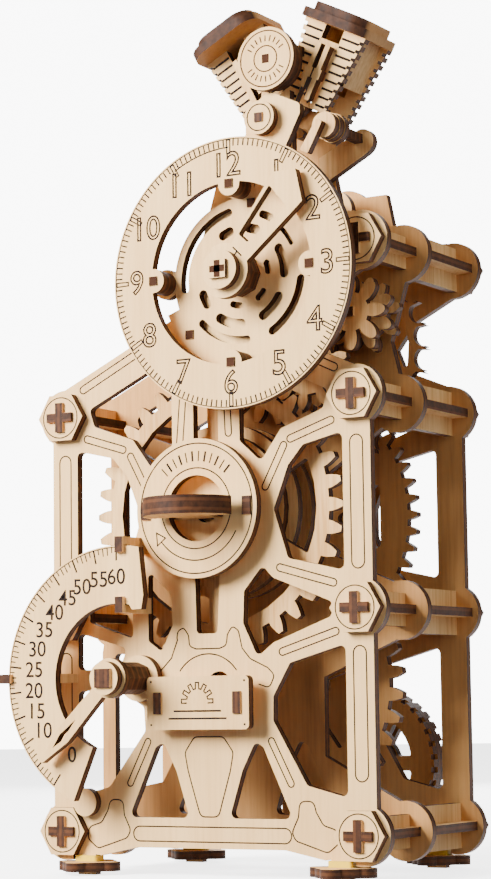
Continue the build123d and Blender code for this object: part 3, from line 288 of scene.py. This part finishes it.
def birch_material(name, sheet_normals, tone, pale, warm):
    """Plywood whose sheets face sheet_normals; every other face is a scorched cut edge."""
    wood = bpy.context.scene.clock_wood
    material = bpy.data.materials.new(name)
    material.use_nodes = True
    nodes, links = material.node_tree.nodes, material.node_tree.links
    shader = nodes["Principled BSDF"]
    where = nodes.new("ShaderNodeTexCoord")
    start = nodes.new("ShaderNodeAttribute")
    start.attribute_type = "OBJECT"
    start.attribute_name = "sheet_start"
    grain = group_node(nodes, bpy.data.node_groups["birch_grain"])
    grain.inputs["Depth of tone"].default_value = tone
    grain.inputs["Pale"].default_value = pale
    grain.inputs["Warm"].default_value = warm
    edge = group_node(nodes, bpy.data.node_groups["cut_edge"])
    edge.inputs["Sheet normal A"].default_value = sheet_normals[0]
    edge.inputs["Sheet normal B"].default_value = sheet_normals[-1]
    edge.inputs["Glue lines"].default_value = 0.55 if len(sheet_normals) == 1 else 0.0
    edge.inputs["Dark"].default_value = wood.scorch
    edge.inputs["Light"].default_value = wood.scorch_light
    links.new(where.outputs["Object"], grain.inputs["Vector"])
    links.new(where.outputs["Object"], edge.inputs["Vector"])
    links.new(where.outputs["Normal"], edge.inputs["Normal"])
    links.new(start.outputs["Fac"], edge.inputs["Sheet start"])
    colour = mix_colour(nodes, links, edge.outputs["Mask"], grain.outputs["Color"], edge.outputs["Color"])
    links.new(colour, shader.inputs["Base Color"])
    links.new(grain.outputs["Roughness"], shader.inputs["Roughness"])
    shader.inputs["Specular IOR Level"].default_value = 0.12
    bump = nodes.new("ShaderNodeBump")
    bump.inputs["Strength"].default_value = 0.16
    bump.inputs["Distance"].default_value = 0.0003
    links.new(grain.outputs["Height"], bump.inputs["Height"])
    links.new(bump.outputs[0], shader.inputs["Normal"])
    return material


def plain_material(name, colour, roughness, variation=0.25):
    """A matt material with a little unevenness, for engraving and rubber."""
    material = bpy.data.materials.new(name)
    material.use_nodes = True
    nodes, links = material.node_tree.nodes, material.node_tree.links
    shader = nodes["Principled BSDF"]
    where = nodes.new("ShaderNodeTexCoord")
    mottle = stretched_noise(nodes, links, where.outputs["Object"], (600, 600, 600), 2.0)
    darker = tuple(channel * (1 - variation) for channel in colour[:3]) + (1,)
    links.new(mix_colour(nodes, links, mottle, colour, darker), shader.inputs["Base Color"])
    shader.inputs["Roughness"].default_value = roughness
    shader.inputs["Specular IOR Level"].default_value = 0.15
    return material


def engraved():
    return bpy.data.materials["engraved_line"]


# ---------------------------------------------------------------- mesh helpers
def finish_piece(name, bm, material, body):
    """Turn a bmesh into a named piece that rides on a body."""
    bmesh.ops.recalc_face_normals(bm, faces=bm.faces)
    mesh = bpy.data.meshes.new(name)
    bm.to_mesh(mesh)
    bm.free()
    piece = bpy.data.objects.new(name, mesh)
    bpy.context.scene.collection.objects.link(piece)
    mesh.materials.append(material)
    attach(piece, body)
    return piece


def ribbon(bm, points, y, width, proud, closed=False):
    """A thin flat line through points (x, z), standing proud of a face at depth y."""
    count = len(points)
    pairs = []
    for index, point in enumerate(points):
        here = Vector(point)
        before = Vector(points[index - 1]) if closed or index else None
        after = Vector(points[(index + 1) % count]) if closed or index < count - 1 else None
        along_in = (here - before).normalized() if before is not None else (after - here).normalized()
        along_out = (after - here).normalized() if after is not None else along_in
        tangent = (along_in + along_out)
        tangent = tangent.normalized() if tangent.length > 1e-6 else along_in
        across = Vector((-tangent.y, tangent.x))
        spread = width / 2 / max(0.35, across.dot(Vector((-along_in.y, along_in.x))))
        pairs.append((here + across * spread, here - across * spread))
    rings = []
    for left, right in pairs:
        rings.append([
            bm.verts.new((left.x, y, left.y)), bm.verts.new((left.x, y - proud, left.y)),
            bm.verts.new((right.x, y - proud, right.y)), bm.verts.new((right.x, y, right.y))])
    spans = count if closed else count - 1
    for index in range(spans):
        first, second = rings[index], rings[(index + 1) % count]
        for side in range(4):
            other = (side + 1) % 4
            bm.faces.new((first[side], first[other], second[other], second[side]))
    if not closed:
        bm.faces.new(rings[0])
        bm.faces.new(rings[-1])


def arc_points(centre, radius, start, end, steps):
    """Points on an arc; bearings in degrees clockwise from up, seen from the front."""
    points = []
    for index in range(steps + 1):
        bearing = math.radians(start + (end - start) * index / steps)
        points.append((centre[0] + radius * math.sin(bearing), centre[1] + radius * math.cos(bearing)))
    return points


def circle_points(centre, radius, steps=72):
    return arc_points(centre, radius, 0, 360, steps)[:-1]


def radial(centre, inner, outer, bearing):
    angle = math.radians(bearing)
    way = Vector((math.sin(angle), math.cos(angle)))
    return [tuple(Vector(centre) + way * inner), tuple(Vector(centre) + way * outer)]


def rounded_outline(corners, radius, steps=6):
    """The corners (x, z) of a closed outline, each replaced by a small arc."""
    points = []
    count = len(corners)
    for index in range(count):
        here = Vector(corners[index])
        before = (Vector(corners[index - 1]) - here)
        after = (Vector(corners[(index + 1) % count]) - here)
        angle = before.angle(after)
        reach = min(radius / math.tan(angle / 2), before.length * 0.49, after.length * 0.49)
        start, end = here + before.normalized() * reach, here + after.normalized() * reach
        for step in range(steps + 1):
            part = step / steps
            curve = start * (1 - part) ** 2 + here * 2 * part * (1 - part) + end * part ** 2
            points.append((curve.x, curve.y))
    return points


def flat(point):
    """(x, z) in metres of a place given in the clock's millimetres."""
    where = spot(point[0], 0, point[1])
    return (where.x, where.z)


def number_mesh(text, centre, height, y, outline, weight):
    """A number whose middle is at centre (x, z): outlined, or filled when outline is false."""
    curve = bpy.data.curves.new("number", "FONT")
    curve.body = text
    curve.size = height / 0.70
    curve.align_x = "CENTER"
    curve.align_y = "CENTER"
    if outline:
        curve.fill_mode = "NONE"
        curve.bevel_depth = weight / 2
        curve.bevel_resolution = 0
    else:
        curve.fill_mode = "FRONT"
        curve.offset = height * 0.008
        curve.extrude = weight
    holder = bpy.data.objects.new("number", curve)
    bpy.context.scene.collection.objects.link(holder)
    bpy.context.view_layer.update()
    mesh = bpy.data.meshes.new_from_object(holder.evaluated_get(bpy.context.evaluated_depsgraph_get()))
    bpy.data.objects.remove(holder)
    bpy.data.curves.remove(curve)
    low = Vector((min(v.co.x for v in mesh.vertices), min(v.co.y for v in mesh.vertices)))
    high = Vector((max(v.co.x for v in mesh.vertices), max(v.co.y for v in mesh.vertices)))
    middle = (low + high) / 2
    squeeze = height / (high.y - low.y)
    depth_scale = 0.5 if outline else 1.0
    for vertex in mesh.vertices:
        local = Vector(((vertex.co.x - middle.x) * squeeze, (vertex.co.y - middle.y) * squeeze))
        vertex.co = Vector((centre[0] + local.x, y - vertex.co.z * depth_scale, centre[1] + local.y))
    return mesh


def add_mesh(bm, mesh):
    bm.from_mesh(mesh)
    bpy.data.meshes.remove(mesh)


# ---------------------------------------------------------------- operators
class CLOCK_OT_wood(bpy.types.Operator):
    """Give every plywood piece its birch faces and scorched edges"""

    bl_idname = "clock.wood"
    bl_label = "Birch plywood"

    def execute(self, context):
        wood = context.scene.clock_wood
        birch_grain_group(wood)
        cut_edge_group(wood)
        lean = math.radians(CYLINDER_LEAN)
        across_left = (math.cos(-lean), 0, -math.sin(-lean))
        across_right = (math.cos(lean), 0, -math.sin(lean))
        up_left = (math.sin(-lean), 0, math.cos(-lean))
        up_right = (math.sin(lean), 0, math.cos(lean))
        ways = {
            "upright": ((0, 1, 0),), "side_on": ((1, 0, 0),), "level": ((0, 0, 1),),
            "clips": ((1, 0, 0), (0, 0, 1)), "cylinder_sides": (across_left, across_right),
            "cylinder_heads": (up_left, up_right),
        }
        facing = {
            "rod_flat_strips": "level", "rod_upright_strips": "side_on", "feet": "level",
            "pointer_arbor": "side_on", "winding_arbor": "side_on",
            "crank_arbor": "side_on", "petal_arbor": "side_on", "second_arbor": "side_on",
            "third_arbor": "side_on", "escape_arbor": "side_on", "anchor_arbor": "side_on",
            "winding_key": "level", "name_plate_brackets": "side_on", "scale_clips": "clips",
            "cylinder_sides": "cylinder_sides", "cylinder_heads": "cylinder_heads",
        }
        # Painted shade: the front pieces keep the pale birch, while pieces further inside the frame get
        # darker copies of the same birch (mid and deep tones) that stand in for the shade inside the frame.
        lit_pale_nodes = {
            "dial_ring", "dial_inner_plate", "knob_ring", "name_plate", "minute_scale", "hour_hand",
            "hour_collars", "hour_arbor", "minute_pointer", "pointer_washers", "engine_front_plates",
            "nuts", "front_plate", "air_cleaner", "cylinder_faces", "dial_posts", "crank_disc",
        }
        painted_shade_deep_nodes = {
            "middle_plate", "back_plate", "second_wheel", "third_wheel", "escape_wheel", "third_pinion",
            "escape_pinion", "pendulum_rod", "bob_sides", "bob_tread", "cylinder_heads",
        }
        # Painted shade: the mid and deep entries use a stronger tone depth and darker colours that stand in
        # for shade on the inner pieces; the pale entry is the plain birch.
        colours = {
            "pale": (0.30, wood.pale, wood.warm), "painted_shade_mid": (0.80, wood.pale, wood.warm),
            "deep": (0.60, wood.warm, wood.deep),
        }
        made = {}
        for name, node in frame["nodes"].items():
            if name == "foot_bands":
                continue
            way = facing.get(name, "upright")
            tone = "pale" if name in lit_pale_nodes else "deep" if name in painted_shade_deep_nodes else "painted_shade_mid"
            key = f"birch_{way}_{tone}"
            if key not in made:
                made[key] = birch_material(key, ways[way], *colours[tone])
            node.data.materials.clear()
            node.data.materials.append(made[key])
            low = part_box(name)[0]
            normal = Vector(ways[way][0])
            node["sheet_start"] = float(low.dot(normal))
        rubber = plain_material("rubber_yellow", (0.80, 0.55, 0.03, 1), 0.45, 0.15)
        bands = frame["nodes"]["foot_bands"]
        bands.data.materials.clear()
        bands.data.materials.append(rubber)
        plain_material("engraved_line", wood.engraving, 0.85)
        return {"FINISHED"}


class CLOCK_OT_dial(bpy.types.Operator):
    """Engrave the hour dial: rim, minute marks, hour marks and numbers"""

    bl_idname = "clock.dial"
    bl_label = "Dial engraving"

    def execute(self, context):
        cut = context.scene.clock_engraving
        low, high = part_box("dial_ring")
        centre = (joint_at["hour_turn"].x, joint_at["hour_turn"].z)
        rim = (high.x - low.x) / 2
        bm = bmesh.new()
        edge = circle_points(centre, rim - 0.6 * MM, 160)
        ribbon(bm, edge, low.y, cut.line * 0.7, cut.proud, closed=True)
        for mark in range(MARKS_ON_DIAL):
            bearing = mark * 360 / MARKS_ON_DIAL
            if mark % 12 == 0:
                left = radial(centre, rim - 5.4 * MM, rim - 0.9 * MM, bearing - 0.85)
                right = radial(centre, rim - 5.4 * MM, rim - 0.9 * MM, bearing + 0.85)
                ribbon(bm, [left[0], left[1], right[1], right[0]], low.y, cut.line, cut.proud, closed=True)
            else:
                tick = radial(centre, rim - 3.0 * MM, rim - 0.8 * MM, bearing)
                ribbon(bm, tick, low.y, cut.line * 1.1, cut.proud)
        ribbon(bm, arc_points(centre, rim - 3.3 * MM, -30, 0, 16), low.y, cut.line, cut.proud)
        number_r = rim - 8.8 * MM
        for hour in range(1, 13):
            angle = math.radians(hour * 30)
            middle = (centre[0] + number_r * math.sin(angle), centre[1] + number_r * math.cos(angle))
            add_mesh(bm, number_mesh(str(hour), middle, cut.dial_number, low.y, True, cut.line * 1.5))
        finish_piece("dial_engraving", bm, engraved(), FRAME_BODY)
        return {"FINISHED"}


class CLOCK_OT_scale(bpy.types.Operator):
    """Engrave the minute scale: marks for each minute and a number at every fifth"""

    bl_idname = "clock.scale"
    bl_label = "Minute scale engraving"

    def execute(self, context):
        cut = context.scene.clock_engraving
        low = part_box("minute_scale")[0]
        centre = (joint_at["minute_sweep"].x, joint_at["minute_sweep"].z)
        rim = centre[0] - low.x
        bm = bmesh.new()
        for minute in range(61):
            bearing = SCALE_ZERO + minute * DEGREES_A_MINUTE
            length = 5.0 if minute % 5 == 0 else (3.2 if minute % 5 in (2, 3) else 2.4)
            width = cut.line * (1.4 if minute % 5 == 0 else 0.9)
            ribbon(bm, radial(centre, rim - length * MM, rim - 0.5 * MM, bearing), low.y, width, cut.proud)
        end = SCALE_ZERO + 60 * DEGREES_A_MINUTE
        edge = arc_points(centre, rim - 0.6 * MM, SCALE_ZERO, end, 90)
        ribbon(bm, edge, low.y, cut.line * 0.7, cut.proud)
        for minute in range(0, 61, 5):
            if minute == 5:
                continue
            angle = math.radians(SCALE_ZERO + minute * DEGREES_A_MINUTE)
            reach = rim - (10.2 if minute else 13.0) * MM
            middle = (centre[0] + reach * math.sin(angle), centre[1] + reach * math.cos(angle))
            add_mesh(bm, number_mesh(str(minute), middle, cut.scale_number, low.y, False, cut.proud))
        finish_piece("scale_engraving", bm, engraved(), FRAME_BODY)
        return {"FINISHED"}


class CLOCK_OT_knob(bpy.types.Operator):
    """Engrave the winding knob: two circles and a turning arrow"""

    bl_idname = "clock.knob"
    bl_label = "Winding knob engraving"

    def execute(self, context):
        cut = context.scene.clock_engraving
        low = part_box("knob_ring")[0]
        centre = (joint_at["winding_turn"].x, joint_at["winding_turn"].z)
        bm = bmesh.new()
        ribbon(bm, circle_points(centre, 21.3 * MM, 96), low.y, cut.line, cut.proud, closed=True)
        ribbon(bm, circle_points(centre, 13.2 * MM, 72), low.y, cut.line, cut.proud, closed=True)
        ribbon(bm, arc_points(centre, 17.0 * MM, 118, 232, 40), low.y, cut.line, cut.proud)
        tip = Vector(radial(centre, 0, 17.0 * MM, 244)[1])
        inner, outer = radial(centre, 15.0 * MM, 19.0 * MM, 232)
        ribbon(bm, [tuple(tip), inner, outer], low.y, cut.line, cut.proud, closed=True)
        for bearing in range(-44, 45, 8):
            width = cut.line * (1.6 if bearing % 16 == 12 else 1)
            ribbon(bm, radial(centre, 15.4 * MM, 18.8 * MM, bearing), low.y, width, cut.proud)
        finish_piece("knob_engraving", bm, engraved(), "winding_knob")
        return {"FINISHED"}


class CLOCK_OT_frame_lines(bpy.types.Operator):
    """Engrave the frame: nut circles and the rounded slots along the posts and arms"""

    bl_idname = "clock.frame_lines"
    bl_label = "Frame engraving"

    def execute(self, context):
        cut = context.scene.clock_engraving
        line = engraved()
        nut_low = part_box("nuts")[0].y
        bm = bmesh.new()
        for rod in RODS:
            circle = circle_points(flat(rod), NUT_CIRCLE_R * MM, 56)
            ribbon(bm, circle, nut_low, cut.line * 0.9, cut.proud, closed=True)
        finish_piece("nut_engraving", bm, line, FRAME_BODY)
        bm = bmesh.new()
        slots = [
            ((-56, 19), (-56, 57), 4.6), ((56, 19), (56, 57), 4.6), ((-56, 86), (-56, 124), 4.6),
            ((56, 86), (56, 124), 4.6), ((-27, -0.5), (28, -0.5), 4.8), ((-47, 131.5), (-32.5, 127), 2.4),
            ((-29.5, 124.5), (-22.5, 111.5), 2.4), ((47, 131.5), (32, 126.5), 2.4),
            ((29.5, 124.5), (22.5, 111.5), 2.4), ((27.5, 85), (47, 79.5), 2.4),
            ((-48.5, 148.5), (-27, 159), 2.6), ((48.5, 148.5), (40, 152.5), 2.6),
            ((-8.6, 144), (-10, 128), 2.4), ((8.2, 144), (8.8, 130), 2.4), ((28, 58), (47.5, 64), 2.4),
            ((-23.5, 29.5), (-30.5, 16), 2.2), ((23.5, 29.5), (30.5, 16), 2.2),
        ]
        for start, end, width in slots:
            way = Vector(end) - Vector(start)
            turn = math.degrees(math.atan2(way.x, way.y))
            ends = arc_points(end, width / 2, turn - 90, turn + 90, 10)
            ends += arc_points(start, width / 2, turn + 90, turn + 270, 10)
            ribbon(bm, [flat(point) for point in ends], FRONT, cut.line, cut.proud, closed=True)
        pear = [
            (-5.5, 31), (5.5, 31), (9.2, 26), (8, 20), (4.6, 9), (3.4, 5.2), (-3.4, 5.2), (-4.6, 9), (-8, 20),
            (-9.2, 26)
        ]
        blob = [
            (-38.5, 10.5), (-33.5, 10.5), (-33, 5.5), (-30.5, 0.5), (-32, -2), (-43.5, -5.6), (-47.5, -2.5),
            (-47, 1.5), (-42, 3), (-39.5, 7)
        ]
        saddle = [
            (-12, 62.5), (-11.5, 65.5), (-9.2, 66.8), (-7.3, 64), (-7, 60.5), (-4.5, 59.6), (4.5, 59.6),
            (7, 60.5), (7.5, 64), (9.4, 66.8), (11.7, 65.2), (13, 59.5), (16, 56), (22.5, 53), (25, 50.5),
            (23, 46.5), (19, 47.8)
        ]
        for outline in (pear, blob, [(-x, z) for x, z in blob]):
            points = [flat(point) for point in rounded_outline(outline, 2.4)]
            ribbon(bm, points, FRONT, cut.line, cut.proud, closed=True)
        saddle_line = [(-18.5, 52.5), (-14, 56.8)] + rounded_outline(saddle, 1.8)[3:-3]
        for points in (saddle_line, arc_points((0, 44.5), 13.4, -54, 54, 30)):
            ribbon(bm, [flat(point) for point in points], FRONT, cut.line, cut.proud)
        finish_piece("front_plate_engraving", bm, line, FRAME_BODY)
        return {"FINISHED"}


class CLOCK_OT_name_plate(bpy.types.Operator):
    """Engrave the name plate with a plain toothed half wheel and ruled lines, and dot its corners"""

    bl_idname = "clock.name_plate"
    bl_label = "Name plate engraving"

    def execute(self, context):
        cut = context.scene.clock_engraving
        low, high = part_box("name_plate")
        centre = ((low.x + high.x) / 2, (low.z + high.z) / 2)
        bm = bmesh.new()
        for x in (low.x + 1.6 * MM, high.x - 1.6 * MM):
            for z in (low.z + 1.6 * MM, high.z - 1.6 * MM):
                ribbon(bm, circle_points((x, z), 0.22 * MM, 10), low.y, 0.3 * MM, cut.proud, closed=True)
        hub = (centre[0], centre[1] + 0.6 * MM)
        teeth = []
        for tooth in range(7):
            for offset, radius in ((-9, 4.0), (-6, 6.0), (6, 6.0), (9, 4.0)):
                teeth.append(radial(hub, 0, radius * MM, -90 + 30 * tooth + offset)[1])
        ribbon(bm, teeth, low.y, cut.line, cut.proud)
        for row, half in ((-2.6, 9.0), (-5.0, 11.0)):
            z = centre[1] + row * MM
            rule = [(centre[0] - half * MM, z), (centre[0] + half * MM, z)]
            ribbon(bm, rule, low.y, cut.line * 1.4, cut.proud)
        finish_piece("name_plate_engraving", bm, engraved(), FRAME_BODY)
        return {"FINISHED"}


def block(bm, centre, width, height, y, proud):
    """A thin dark rectangle, centred at (x, z), standing proud of a face at depth y."""
    way = Vector((0, height / 2))
    ribbon(bm, [tuple(Vector(centre) - way), tuple(Vector(centre) + way)], y, width, proud)


class CLOCK_OT_peg_ends(bpy.types.Operator):
    """Show the scorched end grain of the pegs, and the rings on the air cleaner"""

    bl_idname = "clock.peg_ends"
    bl_label = "Peg ends"

    def execute(self, context):
        cut = context.scene.clock_engraving
        scorched = plain_material("scorched_end", (0.055, 0.018, 0.006, 1), 0.9, 0.6)
        dial = (joint_at["hour_turn"].x, joint_at["hour_turn"].z)
        bm = bmesh.new()
        for quarter in range(4):
            middle = radial(dial, 0, DIAL_PEG_REACH * MM, quarter * 90)[1]
            block(bm, middle, PEG_END * MM, PEG_END * MM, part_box("dial_posts")[0].y, cut.proud)
        inner_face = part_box("dial_inner_plate")[0].y - PEG_STANDS_OUT * MM
        for reach, bearing in INNER_PEGS:
            middle = radial(dial, 0, reach * MM, bearing)[1]
            block(bm, middle, PEG_END * MM, PEG_END * MM, inner_face, cut.proud)
        finish_piece("dial_peg_ends", bm, scorched, FRAME_BODY)

        bm = bmesh.new()
        low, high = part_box("air_cleaner")
        middle = ((low.x + high.x) / 2, (low.z + high.z) / 2)
        for radius in (9.4, 4.3):
            ribbon(bm, circle_points(middle, radius * MM, 64), low.y, cut.line, cut.proud, closed=True)
        for bearing in range(-60, 61, 15):
            ribbon(bm, radial(middle, 5.8 * MM, 7.8 * MM, bearing), low.y, cut.line, cut.proud)
            ribbon(bm, radial(middle, 5.8 * MM, 7.8 * MM, bearing + 180), low.y, cut.line, cut.proud)
        block(bm, middle, 2.6 * MM, PEG_END * MM, low.y, cut.proud)
        finish_piece("air_cleaner_engraving", bm, scorched, FRAME_BODY)

        bm = bmesh.new()
        middle = (joint_at["crank_turn"].x, joint_at["crank_turn"].z)
        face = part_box("crank_disc")[0].y
        ribbon(bm, circle_points(middle, 4.4 * MM, 48), face, cut.line, cut.proud, closed=True)
        finish_piece("crank_disc_engraving", bm, engraved(), "crank_group")

        bm = bmesh.new()
        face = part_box("hour_arbor")[0].y
        for width, height in ((5.6, 2.2), (2.2, 5.6)):
            block(bm, dial, width * MM, height * MM, face, cut.proud)
        finish_piece("hour_arbor_end", bm, scorched, "hour_group")

        bm = bmesh.new()
        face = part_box("hour_hand")[0].y
        for start, end in (((20.2, 188.2), (23.4, 185.0)), ((21.8, 186.6), (20.2, 185.0))):
            ribbon(bm, [flat(start), flat(end)], face, cut.line * 1.2, cut.proud)
        finish_piece("hand_mark", bm, engraved(), "hour_group")
        return {"FINISHED"}


class CLOCK_OT_fins(bpy.types.Operator):
    """Score the cooling fins across the faces of both cylinders"""

    bl_idname = "clock.fins"
    bl_label = "Cylinder fins"

    def execute(self, context):
        cut = context.scene.clock_engraving
        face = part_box("cylinder_faces")[0].y
        crank = joint_at["crank_turn"]
        foot = Vector((crank.x + CYLINDER_FOOT[0] * MM, crank.z + CYLINDER_FOOT[1] * MM))
        bm = bmesh.new()
        for side in (-1, 1):
            lean = math.radians(CYLINDER_LEAN * side)
            up, out = Vector((math.sin(lean), math.cos(lean))), Vector((math.cos(lean), -math.sin(lean)))
            for fin in range(FIN_COUNT):
                height = FIRST_FIN + FIN_PITCH * fin
                half = 8.6 + 3.8 * (height - 15) / 27.5
                for hand in (-1, 1):
                    near = foot + up * height * MM + out * hand * 4.0 * MM
                    far = foot + up * height * MM + out * hand * (half - 1.1) * MM
                    if (near.x - foot.x) * side < 0.6 * MM or (far.x - foot.x) * side < 0.6 * MM:
                        continue
                    ribbon(bm, [tuple(near), tuple(far)], face, cut.line * 1.9, cut.proud)
        finish_piece("fin_lines", bm, engraved(), FRAME_BODY)
        return {"FINISHED"}


class CLOCK_OT_stage(bpy.types.Operator):
    """Lay the floor, set the soft lights and place the camera"""

    bl_idname = "clock.stage"
    bl_label = "Stage"

    def execute(self, context):
        settings = context.scene.clock_stage
        bm = bmesh.new()
        bmesh.ops.create_grid(bm, x_segments=1, y_segments=1, size=6.0)
        mesh = bpy.data.meshes.new("floor")
        bm.to_mesh(mesh)
        bm.free()
        floor = bpy.data.objects.new("floor", mesh)
        context.scene.collection.objects.link(floor)
        paper = bpy.data.materials.new("pale_floor")
        paper.use_nodes = True
        paper.node_tree.nodes["Principled BSDF"].inputs["Base Color"].default_value = (0.93, 0.93, 0.93, 1)
        paper.node_tree.nodes["Principled BSDF"].inputs["Roughness"].default_value = 0.9
        paper.node_tree.nodes["Principled BSDF"].inputs["Emission Color"].default_value = (1, 1, 1, 1)
        paper.node_tree.nodes["Principled BSDF"].inputs["Emission Strength"].default_value = settings.floor
        mesh.materials.append(paper)
        floor.visible_diffuse = False

        bm = bmesh.new()
        for corner in ((-1, 0), (1, 0), (1, 2.4), (-1, 2.4)):
            bm.verts.new((corner[0] * 2.2, 0, corner[1]))
        bm.faces.new(bm.verts)
        mesh = bpy.data.meshes.new("backdrop")
        bm.to_mesh(mesh)
        bm.free()
        backdrop = bpy.data.objects.new("backdrop", mesh)
        context.scene.collection.objects.link(backdrop)
        backdrop.location = (-1.3, 2.3, -0.02)
        backdrop.rotation_euler = (0, 0, math.radians(30))
        glow = bpy.data.materials.new("white_backdrop")
        glow.use_nodes = True
        shader = glow.node_tree.nodes["Principled BSDF"]
        shader.inputs["Base Color"].default_value = (0.9, 0.9, 0.9, 1)
        shader.inputs["Emission Color"].default_value = (1, 1, 1, 1)
        shader.inputs["Emission Strength"].default_value = settings.backdrop
        mesh.materials.append(glow)
        backdrop.visible_diffuse = False
        backdrop.visible_glossy = False

        world = bpy.data.worlds.new("white_room")
        world.use_nodes = True
        world.node_tree.nodes["Background"].inputs["Color"].default_value = (1, 1, 1, 1)
        world.node_tree.nodes["Background"].inputs["Strength"].default_value = settings.sky
        context.scene.world = world

        target = spot(0, 20, 120)
        for name, place, size, power in (
            ("key_light", (-480, -700, 520), 0.50, settings.light),
            ("side_light", (640, -260, 380), 0.60, settings.light * 0.05),
            ("rear_light", (-260, 760, 420), 0.60, settings.light * 0.22),
            ("top_light", (60, 150, 820), 0.70, settings.light * 0.05),
        ):
            lamp = bpy.data.lights.new(name, "AREA")
            lamp.energy = power
            lamp.size = size
            holder = bpy.data.objects.new(name, lamp)
            context.scene.collection.objects.link(holder)
            holder.location = spot(*place)
            holder.rotation_euler = (target - holder.location).to_track_quat("-Z", "Y").to_euler()

        azimuth, pitch, roll = math.radians(30.3527), math.radians(6.2948), math.radians(-0.7395)
        level = math.cos(pitch)
        forward = Vector((-math.sin(azimuth) * level, math.cos(azimuth) * level, math.sin(pitch)))
        right = Vector((math.cos(azimuth), math.sin(azimuth), 0))
        up = right.cross(forward)
        tilted_right = right * math.cos(roll) + up * math.sin(roll)
        tilted_up = up * math.cos(roll) - right * math.sin(roll)
        camera = bpy.data.cameras.new("camera")
        camera.sensor_width = 36
        camera.lens = 99.46
        camera.clip_start = 0.05
        holder = bpy.data.objects.new("camera", camera)
        context.scene.collection.objects.link(holder)
        turn = Matrix((tilted_right, tilted_up, -forward)).transposed().to_4x4()
        holder.matrix_world = Matrix.Translation(spot(413.55, -680.11, 40.35)) @ turn
        context.scene.camera = holder
        return {"FINISHED"}


class CLOCK_PT_panel(bpy.types.Panel):
    """Lists the steps that dress the clock"""

    bl_label = "Plywood clock"
    bl_idname = "CLOCK_PT_panel"
    bl_space_type = "VIEW_3D"
    bl_region_type = "UI"
    bl_category = "Clock"

    def draw(self, context):
        for operator in OPERATORS:
            self.layout.operator(operator.bl_idname)
        scene = context.scene
        for settings in (scene.clock_wood, scene.clock_engraving, scene.clock_stage):
            for name in settings.__annotations__:
                self.layout.prop(settings, name)


SETTINGS = (WoodSettings, EngravingSettings, StageSettings)
OPERATORS = (
    CLOCK_OT_stage, CLOCK_OT_wood, CLOCK_OT_dial, CLOCK_OT_scale, CLOCK_OT_knob, CLOCK_OT_frame_lines,
    CLOCK_OT_name_plate, CLOCK_OT_peg_ends, CLOCK_OT_fins,
)
CLASSES = SETTINGS + OPERATORS + (CLOCK_PT_panel,)


def register():
    for cls in CLASSES:
        bpy.utils.register_class(cls)
    bpy.types.Scene.clock_wood = PointerProperty(type=WoodSettings)
    bpy.types.Scene.clock_engraving = PointerProperty(type=EngravingSettings)
    bpy.types.Scene.clock_stage = PointerProperty(type=StageSettings)


def unregister():
    del bpy.types.Scene.clock_stage
    del bpy.types.Scene.clock_engraving
    del bpy.types.Scene.clock_wood
    for cls in reversed(CLASSES):
        bpy.utils.unregister_class(cls)


def main():
    register()
    for operator in OPERATORS:
        group, name = operator.bl_idname.split(".")
        getattr(getattr(bpy.ops, group), name)()


if __name__ == "__main__":
    main()
